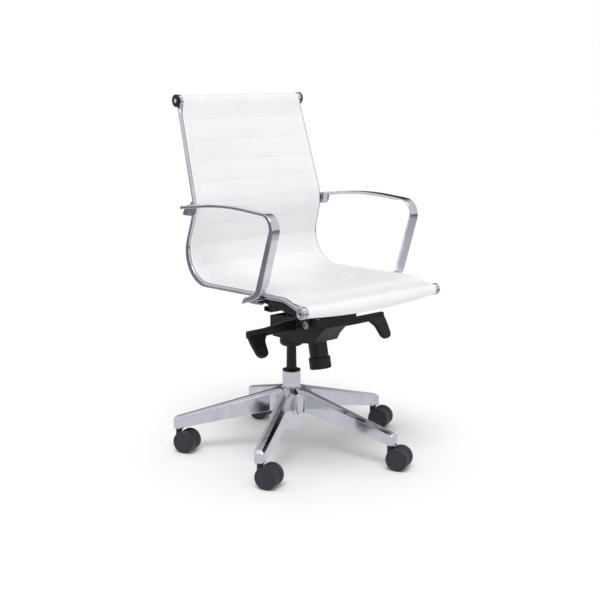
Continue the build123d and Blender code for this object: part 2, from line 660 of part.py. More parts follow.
def end_caps(place, radius):
    """A round cap with a plug on both ends of a cross tube."""
    y, z = place
    start = rail_outer_x(z) + CAP_GAP
    caps = []
    for side in (-1, 1):
        cap = along_x(radius, mirrored(side, (start, start + CAP_THICKNESS)), y, z)
        outer_rim = cap.edges().filter_by(GeomType.CIRCLE).group_by(Axis.X)[max(side, 0) * -1]
        cap = chamfer(outer_rim, 1.5)
        ring = along_x(radius - 4, mirrored(side, (start + CAP_THICKNESS - 0.8, start + 10)), y, z)
        ring -= along_x(radius - 6, mirrored(side, (start, start + 12)), y, z)
        plug = along_x(TUBE_RADIUS - 2, mirrored(side, (start - 14, start)), y, z)
        hole = along_x(CAP_SCREW_RADIUS, mirrored(side, (start - 8, start + 12)), y, z)
        caps.append(cap + plug - ring - hole)
    return Compound(children=caps)


def cap_screws(place):
    """The screw in the middle of each end cap."""
    y, z = place
    start = rail_outer_x(z) + CAP_GAP
    screws = []
    for side in (-1, 1):
        pin = along_x(CAP_SCREW_RADIUS, mirrored(side, (start - 8, start + CAP_THICKNESS)), y, z)
        slot = block(mirrored(side, (start + CAP_THICKNESS - 1.5, start + 10)),
                     (y - 4, y + 4), (z - 0.7, z + 0.7))
        screws.append(pin - slot)
    return Compound(children=screws)


def back_brace():
    """The bowed aluminium brace between the rails, behind the back."""
    half = rail_outer_x(BRACE_Z) - 2
    rail_y = RAIL_LUMBAR[0] + 13.5
    front = ThreePointArc((-half, rail_y), (0, rail_y + BRACE_BOW), (half, rail_y))
    rear = ThreePointArc((-half, rail_y + BRACE_THICKNESS),
                         (0, rail_y + BRACE_BOW + BRACE_THICKNESS),
                         (half, rail_y + BRACE_THICKNESS))
    ends = [Line(front @ 0, rear @ 0), Line(front @ 1, rear @ 1)]
    outline = make_face(Curve() + [front, rear] + ends)
    return extrude(Plane.XY.offset(BRACE_Z - BRACE_HEIGHT / 2) * outline, amount=BRACE_HEIGHT)


def sling():
    """The leather sling: one band between the rails that rolls over both cross tubes."""
    half = SLING_THICKNESS / 2
    front_radii = [LUMBAR_RADIUS + half, HEEL_SLING_RADIUS - half, KNEE_RADIUS + half]
    rear_radii = [LUMBAR_RADIUS - half, HEEL_SLING_RADIUS + half, KNEE_RADIUS - half]
    face = band(RAIL_PATH, half, half, rear_radii, front_radii)
    for place in (RAIL_TOP, RAIL_FRONT):
        face += Pos(*place) * Circle(SLING_ROLL_RADIUS)
        face -= Pos(*place) * Circle(TUBE_RADIUS + GAP)
    inner = RAIL_OUTER_X - RAIL_THICKNESS - GAP
    body = side_slab(face, (-RAIL_OUTER_X, RAIL_OUTER_X))
    for side in (-1, 1):
        outside = block(mirrored(side, (inner, inner + 80)), (-400, 400), (300, 1100))
        body -= lean_in(outside, side)
    return body


# ---------------------------------------------------------------- arms

def arm(side):
    """A polished arm: a tab on the back rail, a long top strap, and a leg under the seat rail."""
    outer = [(150, 677), (-30, 699), (-237, 686), (-172, 479), (-104, 455)]
    inner = [(150, 668.5), (-30, 690.5), (-217, 679), (-152, 490), (-108, 470)]
    outer_edge = FilletPolyline(*outer, radius=[ARM_TOP_RADIUS, ARM_CORNER_RADIUS + 6,
                                                ARM_FOOT_RADIUS + 10])
    inner_edge = FilletPolyline(*inner, radius=[ARM_TOP_RADIUS, ARM_CORNER_RADIUS - 8,
                                                ARM_FOOT_RADIUS])
    ends = [Line(outer_edge @ 0, inner_edge @ 0), Line(outer_edge @ 1, inner_edge @ 1)]
    loop = side_slab(make_face(Curve() + [outer_edge, inner_edge] + ends),
                     (ARM_INNER_X, ARM_OUTER_X))
    loop = fillet(loop.edges().filter_by(lambda e: e.length > 30), ARM_EDGE)
    loop -= block((0, RAIL_OUTER_X + 0.4), (-190, 0), (440, 492))
    tab_outline = [(168, 650), (152, 677), (100, 685), (106, 660), (116, 651)]
    tab_inner = rail_outer_x(650) + 0.2
    tab = side_slab(make_face(Polyline(*tab_outline, close=True)), (tab_inner, tab_inner + 11))
    tab = fillet(tab.edges().filter_by(Axis.X), 2.5)
    foot = block((RAIL_OUTER_X - 8, RAIL_OUTER_X + 12), (-160, -106), (461, 473.2))
    foot = fillet(foot.edges().filter_by(Axis.Z), 5)
    piece = loop + tab + foot
    if side < 0:
        piece = mirror(piece, about=Plane.YZ)
    return piece - frame_screws(side)


def frame_screws(side):
    """The screws that hold one arm to its rail, two at the tab and two at the foot."""
    screws = []
    tab_face = rail_outer_x(650) + 11.2
    for z in (660, 675):
        place = Pos(side * tab_face, RAIL_LUMBAR[0] + 4, z)
        screws.append(place * Rot(0, side * 90, 0) * screw(14))
    for y in (-148, -120):
        place = Pos(side * (RAIL_OUTER_X - 3.5), y, 461)
        screws.append(place * Rot(180, 0, 0) * screw(14))
    return Compound(children=screws)


# ---------------------------------------------------------------- all the pieces

def all_pieces():
    """Every piece of the chair by its node's name."""
    pieces = {
        "star_base": star_base(),
        "stand_tube": stand_tube(),
        "guide_bush": guide_bush(),
        "thrust_bearing": thrust_bearing(),
        "retaining_clip": retaining_clip(),
        "piston_rod": piston_rod(),
        "pressure_tube": pressure_tube(),
        "release_pin": release_pin(),
        "mech_housing": mech_housing(),
        "tilt_shaft": tilt_shaft(),
        "tilt_shaft_clips": tilt_shaft_clips(),
        "tension_spring": tension_spring(),
        "tension_bolt": tension_bolt(),
        "tension_knob": tension_knob(),
        "tension_nut": tension_nut(),
        "height_lever_rod": height_lever_rod(),
        "height_lever_handle": lever_handle(-1, HEIGHT_LEVER_Y, HEIGHT_LEVER_REACH),
        "tilt_lever_rod": tilt_lever_rod(),
        "tilt_lever_handle": lever_handle(1, TILT_LEVER_Y, TILT_LEVER_REACH),
        "seat_plate": seat_plate(),
        "tilt_bushes": tilt_bushes(),
        "front_spreader": spreader(FRONT_SPREADER_Y),
        "rear_spreader": spreader(REAR_SPREADER_Y),
        "spreader_bolts": spreader_bolts(),
        "front_tube": cross_tube(RAIL_FRONT),
        "top_tube": cross_tube(RAIL_TOP),
        "front_caps": end_caps(RAIL_FRONT, FRONT_CAP_RADIUS),
        "front_cap_screws": cap_screws(RAIL_FRONT),
        "top_caps": end_caps(RAIL_TOP, TOP_CAP_RADIUS),
        "top_cap_screws": cap_screws(RAIL_TOP),
        "back_brace": back_brace(),
        "frame_screws": frame_screws(1) + frame_screws(-1),
        "sling": sling(),
    }
    for name, side in (("left", 1), ("right", -1)):
        pieces[f"{name}_rail"] = rail(side)
        pieces[f"{name}_arm"] = arm(side)
        pieces[f"{name}_side_bracket"] = side_bracket(side)
    for index in range(LEG_COUNT):
        name = f"caster_{index + 1}"
        pieces[f"{name}_body"] = place_caster(index, caster_body())
        pieces[f"{name}_pins"] = place_caster(index, caster_pins())
        pieces[f"{name}_wheel_a"] = place_caster(index, caster_wheel(1))
        pieces[f"{name}_wheel_b"] = place_caster(index, caster_wheel(-1))
    return pieces


os.makedirs("parts", exist_ok=True)
for node, piece in all_pieces().items():
    export_step(piece, f"parts/{node}.step")
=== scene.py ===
import math

import bmesh
import bpy
import numpy as np
from mathutils import Matrix, Vector, noise
from mathutils.kdtree import KDTree


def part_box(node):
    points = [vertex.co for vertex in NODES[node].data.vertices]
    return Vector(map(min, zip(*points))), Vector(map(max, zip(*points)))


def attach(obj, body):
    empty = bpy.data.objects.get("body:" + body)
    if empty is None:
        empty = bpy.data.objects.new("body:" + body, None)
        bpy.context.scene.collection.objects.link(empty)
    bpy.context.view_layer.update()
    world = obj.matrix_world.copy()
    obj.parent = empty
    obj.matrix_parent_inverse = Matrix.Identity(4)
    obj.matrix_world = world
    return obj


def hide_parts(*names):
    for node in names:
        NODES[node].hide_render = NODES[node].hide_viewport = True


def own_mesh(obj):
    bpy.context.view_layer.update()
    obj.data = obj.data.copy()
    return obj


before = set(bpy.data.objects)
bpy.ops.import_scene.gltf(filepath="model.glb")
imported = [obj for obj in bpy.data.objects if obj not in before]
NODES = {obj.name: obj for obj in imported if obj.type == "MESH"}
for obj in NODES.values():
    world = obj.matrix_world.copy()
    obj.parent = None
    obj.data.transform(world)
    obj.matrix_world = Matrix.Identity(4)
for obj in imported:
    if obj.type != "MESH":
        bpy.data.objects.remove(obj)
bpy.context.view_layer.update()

MM = 0.001

# Side frame lines as (y, z), from the cross tubes at both ends
TOP = Vector([sum(c) / 2 for c in zip(*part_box("top_tube"))]).yz
FRONT = Vector([sum(c) / 2 for c in zip(*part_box("front_tube"))]).yz
LUMBAR = Vector((0.129, 0.672))
HEEL = Vector((0.190, 0.472))
KNEE = Vector((-0.238, 0.482))
FRAME_LINE = [TOP, LUMBAR, HEEL, KNEE, FRONT]
RAIL_OUTER_X = 0.232
RAIL_INNER_X = 0.223
RAIL_LEAN_Z = 0.470
RAIL_LEAN = math.tan(math.radians(2.56))
RAIL_HALF_DEPTH = 0.00525


# ---------------------------------------------------------------- mesh helpers

def make_object(name, vertices, faces, material, smooth=True):
    """A mesh object from plain lists, with its normals turned outwards."""
    mesh = bpy.data.meshes.new(name)
    mesh.from_pydata([tuple(v) for v in vertices], [], faces)
    work = bmesh.new()
    work.from_mesh(mesh)
    bmesh.ops.remove_doubles(work, verts=work.verts, dist=1e-6)
    bmesh.ops.recalc_face_normals(work, faces=work.faces)
    work.to_mesh(mesh)
    work.free()
    mesh.materials.append(material)
    mesh.polygons.foreach_set("use_smooth", [smooth] * len(mesh.polygons))
    made = bpy.data.objects.new(name, mesh)
    bpy.context.scene.collection.objects.link(made)
    return made


def apply_modifiers(piece):
    """Bakes a piece's modifiers into its mesh."""
    graph = bpy.context.evaluated_depsgraph_get()
    baked = bpy.data.meshes.new_from_object(piece.evaluated_get(graph))
    piece.modifiers.clear()
    piece.data = baked


def join(name, parts):
    """Joins several objects into one piece."""
    work = bmesh.new()
    materials = []
    for part in parts:
        before = len(work.faces)
        work.from_mesh(part.data)
        work.faces.ensure_lookup_table()
        for slot, material in enumerate(part.data.materials):
            if material not in materials:
                materials.append(material)
            for face in work.faces[before:]:
                if face.material_index == slot:
                    face.material_index = materials.index(material)
        bpy.data.objects.remove(part)
    mesh = bpy.data.meshes.new(name)
    work.to_mesh(mesh)
    work.free()
    for material in materials:
        mesh.materials.append(material)
    made = bpy.data.objects.new(name, mesh)
    bpy.context.scene.collection.objects.link(made)
    return made


def even_normals(piece):
    """Shades broad faces flat and their rounded edges smooth."""
    piece.data.polygons.foreach_set("use_smooth", [True] * len(piece.data.polygons))
    modifier = piece.modifiers.new("even normals", "WEIGHTED_NORMAL")
    modifier.weight = 100
    modifier.keep_sharp = False


def loft(name, rings, material, closed=False):
    """A skin through rings of equal length: capped on both ends, or closed into a loop."""
    count = len(rings[0])
    vertices = [point for ring in rings for point in ring]
    faces = []
    for row in range(len(rings) if closed else len(rings) - 1):
        following = (row + 1) % len(rings)
        for k in range(count):
            after = (k + 1) % count
            faces.append((row * count + k, row * count + after,
                          following * count + after, following * count + k))
    if not closed:
        faces.append(tuple(range(count)))
        faces.append(tuple(range(len(vertices) - count, len(vertices))))
    return make_object(name, vertices, faces, material)


def lathe(name, profile, centre, axis, material, segments=64, closed=False):
    """A solid of revolution: profile is (radius, distance along the axis)."""
    turn = Vector(axis).to_track_quat("Z", "Y")
    rings = []
    for radius, height in profile:
        ring = []
        for k in range(segments):
            angle = 2 * math.pi * k / segments
            local = Vector((radius * math.cos(angle), radius * math.sin(angle), height))
            ring.append(Vector(centre) + turn @ local)
        rings.append(ring)
    return loft(name, rings, material, closed)


def fillet_corner(before, corner, after, radius, steps):
    """Points along the arc that rounds one corner."""
    towards = (before - corner).normalized()
    away = (after - corner).normalized()
    half = towards.angle(away) / 2
    reach = radius / math.tan(half)
    centre = corner + (towards + away).normalized() * (radius / math.sin(half))
    start = corner + towards * reach - centre
    end = corner + away * reach - centre
    sweep = start.angle(end)
    points = []
    for k in range(steps + 1):
        share = k / steps
        mix = math.sin(sweep * (1 - share)) * start + math.sin(sweep * share) * end
        points.append(centre + mix / math.sin(sweep))
    return points


def rounded_line(points, radii, run_steps, arc_steps):
    """An open line with rounded corners: the same number of points on every run and arc."""
    points = [Vector(p) for p in points]
    arcs = []
    for k, radius in enumerate(radii):
        arcs.append(fillet_corner(points[k], points[k + 1], points[k + 2], radius, arc_steps))
    nodes = [[points[0]]] + arcs + [[points[-1]]]
    line = []
    for current, following in zip(nodes, nodes[1:]):
        line.extend(current[:-1] if len(current) > 1 else [])
        start, end = current[-1], following[0]
        line.extend(start.lerp(end, k / run_steps) for k in range(run_steps))
    return line + [points[-1]]


def rounded_ring(corners, radii, arc_steps=4):
    """A closed outline with rounded corners."""
    corners = [Vector(c) for c in corners]
    ring = []
    for k, corner in enumerate(corners):
        before = corners[k - 1]
        after = corners[(k + 1) % len(corners)]
        ring.extend(fillet_corner(before, corner, after, radii[k], arc_steps))
    return ring


def smooth_step(share):
    share = min(max(share, 0.0), 1.0)
    return share * share * (3 - 2 * share)


def offset_line(points, distance):
    """A line of (y, z) points moved sideways, to the front of the chair for a positive distance."""
    moved = []
    for k, point in enumerate(points):
        before = (point - points[max(k - 1, 0)]) or (points[1] - points[0])
        after = (points[min(k + 1, len(points) - 1)] - point) or (points[-1] - points[-2])
        if k == 0:
            before = after
        if k == len(points) - 1:
            after = before
        before = before.normalized()
        after = after.normalized()
        normal = Vector((before.y + after.y, -before.x - after.x))
        moved.append(point + normal * (2 * distance / normal.length_squared))
    return moved


class Line:
    """A dense line in the (y, z) plane that can be read at any distance along it."""

    def __init__(self, points):
        self.points = np.array([tuple(p) for p in points])
        steps = np.linalg.norm(np.diff(self.points, axis=0), axis=1)
        self.distances = np.concatenate([[0.0], np.cumsum(steps)])
        self.length = float(self.distances[-1])
        self.tree = KDTree(len(self.points))
        for index, (y, z) in enumerate(self.points):
            self.tree.insert((y, z, 0), index)
        self.tree.balance()

    def point(self, distance):
        y = np.interp(distance, self.distances, self.points[:, 0])
        z = np.interp(distance, self.distances, self.points[:, 1])
        return Vector((float(y), float(z)))

    def tangent(self, distance):
        reach = 0.0015
        ahead = self.point(min(distance + reach, self.length))
        behind = self.point(max(distance - reach, 0.0))
        return (ahead - behind).normalized()

    def normal(self, distance):
        """Unit normal towards the sitter."""
        tangent = self.tangent(distance)
        return Vector((tangent.y, -tangent.x))

    def nearest(self, point):
        """Distance along the line of the line's point that is closest to a point."""
        index = self.tree.find((point.x, point.y, 0))[1]
        return float(self.distances[index])


# ---------------------------------------------------------------- materials

def new_material(name, base, metallic=0.0, roughness=0.5, specular=0.5):
    material = bpy.data.materials.new(name)
    material.use_nodes = True
    shader = material.node_tree.nodes["Principled BSDF"]
    shader.inputs["Base Color"].default_value = (*base, 1)
    shader.inputs["Metallic"].default_value = metallic
    shader.inputs["Roughness"].default_value = roughness
    shader.inputs["Specular IOR Level"].default_value = specular
    return material, material.node_tree, shader


def object_coordinates(tree, scale=(1, 1, 1)):
    source = tree.nodes.new("ShaderNodeTexCoord")
    mapping = tree.nodes.new("ShaderNodeMapping")
    mapping.inputs["Scale"].default_value = scale
    tree.links.new(source.outputs["Object"], mapping.inputs["Vector"])
    return mapping.outputs["Vector"]


def noise_texture(tree, vector, scale, detail=3.0, roughness=0.5):
    node = tree.nodes.new("ShaderNodeTexNoise")
    node.inputs["Scale"].default_value = scale
    node.inputs["Detail"].default_value = detail
    node.inputs["Roughness"].default_value = roughness
    tree.links.new(vector, node.inputs["Vector"])
    return node.outputs["Fac"]


def ramp(tree, value, low, high, low_at=0.3, high_at=0.7):
    """Maps a texture value to a colour between two colours."""
    node = tree.nodes.new("ShaderNodeValToRGB")
    node.color_ramp.elements[0].position = low_at
    node.color_ramp.elements[0].color = (*low, 1)
    node.color_ramp.elements[1].position = high_at
    node.color_ramp.elements[1].color = (*high, 1)
    tree.links.new(value, node.inputs["Fac"])
    return node.outputs["Color"]


def remap(tree, value, low, high, low_in=0.3, high_in=0.7):
    node = tree.nodes.new("ShaderNodeMapRange")
    node.inputs["From Min"].default_value = low_in
    node.inputs["From Max"].default_value = high_in
    node.inputs["To Min"].default_value = low
    node.inputs["To Max"].default_value = high
    tree.links.new(value, node.inputs["Value"])
    return node.outputs["Result"]


def bump(tree, shader, layers):
    """Stacks bump layers of (height socket, strength, depth in metres) under a shader."""
    normal = None
    for height, strength, depth in layers:
        node = tree.nodes.new("ShaderNodeBump")
        node.inputs["Strength"].default_value = strength
        node.inputs["Distance"].default_value = depth
        tree.links.new(height, node.inputs["Height"])
        if normal is not None:
            tree.links.new(normal, node.inputs["Normal"])
        normal = node.outputs["Normal"]
    tree.links.new(normal, shader.inputs["Normal"])


def polished_metal(name, base, worn, smooth, hazy, waviness):
    """Polished cast metal: faint haze in the shine, soft waves and fine polishing lines."""
    material, tree, shader = new_material(name, base, metallic=1.0)
    place = object_coordinates(tree)
    haze = noise_texture(tree, place, 22.0, 4.0)
    grain = noise_texture(tree, place, 1400.0, 2.0)
    waves = noise_texture(tree, place, 26.0, 1.0)
    tree.links.new(ramp(tree, haze, worn, base), shader.inputs["Base Color"])
    tree.links.new(remap(tree, haze, smooth, hazy), shader.inputs["Roughness"])
    bump(tree, shader, [(waves, waviness, 0.0016), (grain, 0.05, 0.00006)])
    return material


def powder_coat():
    """Black powder-coated steel with a fine orange-peel skin."""
    material, tree, shader = new_material("black_powder_coat", (0.01, 0.01, 0.012),
                                          specular=0.35)
    place = object_coordinates(tree)
    peel = noise_texture(tree, place, 850.0, 2.0)
    dust = noise_texture(tree, place, 35.0, 5.0)
    tree.links.new(ramp(tree, dust, (0.006, 0.006, 0.008), (0.012, 0.012, 0.016)),
                   shader.inputs["Base Color"])
    tree.links.new(remap(tree, dust, 0.34, 0.5), shader.inputs["Roughness"])
    bump(tree, shader, [(peel, 0.35, 0.00012)])
    return material


def moulded_plastic(name, dark, light, smooth, rough):
    """Moulded plastic with a fine spark-eroded texture and rubbed patches."""
    material, tree, shader = new_material(name, dark, specular=0.3)
    place = object_coordinates(tree)
    texture = noise_texture(tree, place, 1500.0, 2.0)
    rubbed = noise_texture(tree, place, 40.0, 4.0)
    tree.links.new(ramp(tree, rubbed, dark, light), shader.inputs["Base Color"])
    tree.links.new(remap(tree, rubbed, smooth, rough), shader.inputs["Roughness"])
    bump(tree, shader, [(texture, 0.3, 0.00008)])
    return material


def machined_steel():
    """Bright steel with turning marks."""
    material, tree, shader = new_material("machined_steel", (0.58, 0.58, 0.6), metallic=1.0)
    place = object_coordinates(tree, (1, 1, 18))
    marks = noise_texture(tree, place, 160.0, 2.0)
    tree.links.new(ramp(tree, marks, (0.44, 0.44, 0.46), (0.66, 0.66, 0.68)),
                   shader.inputs["Base Color"])
    tree.links.new(remap(tree, marks, 0.2, 0.38), shader.inputs["Roughness"])
    bump(tree, shader, [(marks, 0.2, 0.00005)])
    return material


def white_leather():
    """White bonded leather: pebbled grain, fine creases and a soft finish."""
    material, tree, shader = new_material("white_leather", (0.87, 0.87, 0.885), specular=0.42)
    place = object_coordinates(tree)
    warp = tree.nodes.new("ShaderNodeTexNoise")
    warp.inputs["Scale"].default_value = 240.0
    tree.links.new(place, warp.inputs["Vector"])
    shift = tree.nodes.new("ShaderNodeVectorMath")
    shift.operation = "MULTIPLY_ADD"
    shift.inputs[1].default_value = (0.0011, 0.0011, 0.0011)
    tree.links.new(warp.outputs["Color"], shift.inputs[0])
    tree.links.new(place, shift.inputs[2])
    pebbles = tree.nodes.new("ShaderNodeTexVoronoi")
    pebbles.feature = "DISTANCE_TO_EDGE"
    pebbles.inputs["Scale"].default_value = 620.0
    tree.links.new(shift.outputs["Vector"], pebbles.inputs["Vector"])
    grain = remap(tree, pebbles.outputs["Distance"], 0.0, 1.0, 0.0, 0.22)
    creases = noise_texture(tree, place, 90.0, 6.0, 0.65)
    patches = noise_texture(tree, place, 9.0, 3.0)
    tree.links.new(ramp(tree, patches, (0.825, 0.825, 0.842), (0.86, 0.86, 0.872)),
                   shader.inputs["Base Color"])
    tree.links.new(remap(tree, creases, 0.4, 0.56), shader.inputs["Roughness"])
    bump(tree, shader, [(creases, 0.2, 0.0003), (grain, 0.25, 0.0001)])
    return material


def white_thread():
    """Bonded sewing thread with its twist."""
    material, tree, shader = new_material("white_thread", (0.8, 0.8, 0.81), roughness=0.5)
    place = object_coordinates(tree, (1, 0.4, 0.4))
    twist = noise_texture(tree, place, 2600.0, 2.0)
    tree.links.new(ramp(tree, twist, (0.7, 0.7, 0.71), (0.86, 0.86, 0.87)),
                   shader.inputs["Base Color"])
    bump(tree, shader, [(twist, 0.5, 0.0001)])
    return material


ALUMINIUM = polished_metal("polished_aluminium", (0.74, 0.745, 0.785), (0.62, 0.625, 0.67),
                           0.09, 0.18, 0.3)
CHROME = polished_metal("chrome", (0.76, 0.765, 0.8), (0.68, 0.685, 0.72), 0.05, 0.11, 0.06)
POWDER = powder_coat()
PLASTIC = moulded_plastic("black_plastic", (0.006, 0.006, 0.008), (0.012, 0.012, 0.015), 0.24, 0.36)
NYLON = moulded_plastic("caster_nylon", (0.026, 0.026, 0.034), (0.036, 0.036, 0.046), 0.46, 0.6)
STEEL = machined_steel()
LEATHER = white_leather()
THREAD = white_thread()
SLOT_MATERIAL = {
    "polished_aluminium": ALUMINIUM,
    "chrome": CHROME,
    "black_steel": POWDER,
    "black_plastic": PLASTIC,
    "steel": STEEL,
    "white_leather": LEATHER,
    "caster_plastic": NYLON,
}


# ---------------------------------------------------------------- CAD pieces that stay

EDGE_BEVEL = 0.0006
SHARP_EDGE_ANGLE = math.radians(28)
FLAT_FACE_ANGLE = math.radians(0.5)


def dress(node):
    """Gives a CAD node its material, soft edges and even shading."""
    piece = NODES[node]
    for k, old in enumerate(piece.data.materials):
        piece.data.materials[k] = SLOT_MATERIAL[old.name.split(".")[0]]
    weld = piece.modifiers.new("weld", "WELD")
    weld.merge_threshold = 2e-6
    flatten = piece.modifiers.new("flatten", "DECIMATE")
    flatten.decimate_type = "DISSOLVE"
    flatten.angle_limit = FLAT_FACE_ANGLE
    soften = piece.modifiers.new("soften", "BEVEL")
    soften.width = EDGE_BEVEL
    soften.segments = 2
    soften.limit_method = "ANGLE"
    soften.angle_limit = SHARP_EDGE_ANGLE
    soften.use_clamp_overlap = True
    soften.harden_normals = False
    even_normals(piece)


# ---------------------------------------------------------------- leather sling

SEAM_START = 0.052
SEAM_PITCH = 0.0565
SEAM_ROWS = (0.0, 2.0, 4.5, 9.0, 15.4, 21.8, 28.25, 34.7, 41.1, 47.5, 52.0, 54.5)
ROLL_RADIUS = 0.0148
ROLL_STEPS = 8
SKIN_FRONT = 0.0066
SKIN_BACK = 0.006
ROLL_BLEND = 0.042
RIB_HEIGHT_BACK = 0.0034
RIB_HEIGHT_SEAT = 0.0013
FRONT_BOW = 0.0052
LIP = [          # (past the rail's inner face, above the skin) across the leather's rolled edge
    (-14.0, 0.0), (-9.0, 0.4), (-5.0, 0.9), (-2.0, 1.3), (0.5, 1.4), (2.6, 1.1), (3.9, 0.4),
    (4.1, -0.3), (3.0, -0.8), (-0.5, -0.9),
]
COLUMNS = 54
LINE_RUN_STEPS = 200
LINE_ARC_STEPS = 160
LAST_SEAM_MARGIN = 0.03
PINNED_ENDS = 0.03         # length next to each cross tube that doesn't swell
PINNED_SHARE = 0.12        # points with less softness than this are held in the simulation
SWELL_PRESSURE = 3.0
SWELL_FRAMES = 14
SWELL_CAP = 0.0022
GATHER_HEIGHT = 0.00028
UNEVEN_HEIGHT = 0.0006

front_line = Line(rounded_line(offset_line(FRAME_LINE, SKIN_FRONT),
                               [0.1066, 0.0852, 0.0666], LINE_RUN_STEPS, LINE_ARC_STEPS))
back_line = Line(rounded_line(offset_line(FRAME_LINE, -SKIN_BACK),
                              [0.094, 0.090, 0.054], LINE_RUN_STEPS, LINE_ARC_STEPS))


def seam_distances():
    """Where the sewn channels cross, as distances down the front line."""
    count = int((front_line.length - SEAM_START - LAST_SEAM_MARGIN) / SEAM_PITCH) + 1
    return [SEAM_START + k * SEAM_PITCH for k in range(count)]


def sling_rows():
    """Distances of the rows of vertices, close together at each seam."""
    rows = [0.0, 0.008, 0.016, 0.024, 0.032, 0.040, 0.0465, 0.050]
    seams = seam_distances()
    for seam in seams[:-1]:
        rows.extend(seam + step * MM for step in SEAM_ROWS)
    rows.extend(seams[-1] + step * MM for step in (0.0, 2.0))
    last = rows[-1]
    left = front_line.length - last
    extra = max(2, round(left / 0.006))
    rows.extend([last + left * (k + 1) / extra for k in range(extra)])
    return rows


def half_width(z):
    """Half the sling's width at a height: up to the rails' inner faces."""
    return RAIL_INNER_X - 0.0003 - (z - RAIL_LEAN_Z) * RAIL_LEAN


def rib_share(distance):
    """0 in a sewn channel, 1 on top of a rib."""
    seams = seam_distances()
    if distance < seams[0]:
        share = (distance / seams[0]) / 2 + 0.5
    elif distance > seams[-1]:
        share = min((distance - seams[-1]) / SEAM_PITCH, 0.5)
    else:
        share = ((distance - SEAM_START) / SEAM_PITCH) % 1.0
    flat = 0.03
    share = max(abs(2 * share - 1) - flat, 0) / (1 - flat)
    return (1 - share ** 3.0) ** 0.8 if share < 1 else 0.0


def rib_height(distance):
    """Ribs stand taller on the back than on the seat."""
    seat = smooth_step((distance - 0.42) / 0.12)
    return RIB_HEIGHT_BACK + (RIB_HEIGHT_SEAT - RIB_HEIGHT_BACK) * seat


def roll_at(front, across):
    """Centre and radius of the leather's roll round a cross tube."""
    if not front:
        return TOP, ROLL_RADIUS
    bow = FRONT_BOW * (1 - across * across)
    return FRONT + Vector((-0.3 * bow, -0.85 * bow)), ROLL_RADIUS + bow


def skin_point(distance, across, side, above, crown):
    """A point of the front (side 1) or back (side -1) skin, as (y, z)."""
    line = front_line if side > 0 else back_line
    along = distance
    if side < 0:
        along = back_line.nearest(front_line.point(distance))
    point = line.point(along)
    normal = line.normal(along) * side
    lift = above + crown * rib_height(distance) * rib_share(distance)
    near = point + normal * lift
    for front, gap in ((False, distance), (True, front_line.length - distance)):
        if gap < ROLL_BLEND:
            centre, radius = roll_at(front, across)
            wrapped = centre + normal * radius
            wrapped += line.tangent(along) * (gap if not front else -gap)
            near = near.lerp(wrapped, 1 - smooth_step(gap / ROLL_BLEND))
    return near


def sling_columns(distance, side):
    """(x, share across, height above the skin, crown) for one row, from -X to +X."""
    z = front_line.point(distance).y
    inner = half_width(z)
    columns = []
    edge = min(distance, front_line.length - distance)
    fade = smooth_step((edge - 0.014) / 0.03)
    lip = LIP if side > 0 else [(past, 0.0) for past, _ in LIP[:4]] + [(-0.5, 0.0)]
    for past, above in reversed(lip):
        reach = past * MM if past < 0 else past * MM * fade
        columns.append((-(inner + reach), -1.0, above * MM * (fade if side > 0 else 0), 0.0))
    span = inner + LIP[0][0] * MM
    for k in range(1, COLUMNS):
        across = -1 + 2 * k / COLUMNS
        to_edge = (1 - abs(across)) * span
        columns.append((across * span, across, 0.0, smooth_step(to_edge / 0.02)))
    mirrored = [(-x, -across, above, crown) for x, across, above, crown in columns]
    return columns + list(reversed(mirrored[:len(lip)]))


def sling_sheet(side):
    """One skin of the sling, from the top tube's apex to the front tube's apex."""
    rows = []
    distances = sling_rows()
    line = front_line if side > 0 else back_line
    for k in range(ROLL_STEPS, 0, -1):
        rows.append(roll_row(0.0, side, k / ROLL_STEPS, line))
    for distance in distances:
        row = []
        for x, across, above, crown in sling_columns(distance, side):
            y, z = skin_point(distance, across, side, above, crown)
            row.append(Vector((x, y, z)))
        rows.append(row)
    for k in range(1, ROLL_STEPS + 1):
        rows.append(roll_row(front_line.length, side, k / ROLL_STEPS, line))
    return rows


def roll_row(distance, side, share, line):
    """A row round a cross tube: share 0 is level with the skin and 1 is the apex."""
    row = []
    front = distance > 0
    along = distance if side > 0 else back_line.length if front else 0.0
    normal = line.normal(along) * side
    outward = line.tangent(along) * (1 if front else -1)
    angle = share * math.pi / 2
    direction = normal * math.cos(angle) + outward * math.sin(angle)
    for x, across, _, _ in sling_columns(distance, side):
        centre, radius = roll_at(front, across)
        y, z = centre + direction * radius
        row.append(Vector((x, y, z)))
    return row


def build_sling():
    """Two leather sheets joined along both sides. Round the cross tubes their ends only meet."""
    sheets = [sling_sheet(1), sling_sheet(-1)]
    vertices = [point for sheet in sheets for row in sheet for point in row]
    faces = []
    starts = [0, sum(len(row) for row in sheets[0])]
    widths = [len(sheets[0][0]), len(sheets[1][0])]
    count = len(sheets[0])
    for start, width in zip(starts, widths):
        for row in range(count - 1):
            for k in range(width - 1):
                a = start + row * width + k
                faces.append((a, a + 1, a + width + 1, a + width))
    for edge in (0, 1):
        columns = [start + (width - 1) * edge for start, width in zip(starts, widths)]
        for row in range(count - 1):
            a = columns[0] + row * widths[0]
            b = columns[1] + row * widths[1]
            faces.append((a, a + widths[0], b + widths[1], b))
    return make_object("leather_sling", vertices, faces, LEATHER)


def softness(point):
    """How freely the padding under a point of the skin can swell, from 0 to 1."""
    flat = Vector((point.y, point.z))
    distance = front_line.nearest(flat)
    ends = min(distance, front_line.length - distance)
    if ends < PINNED_ENDS:
        return 0.0
    to_edge = half_width(point.z) - abs(point.x)
    return rib_share(distance) * smooth_step((to_edge - 0.012) / 0.02)


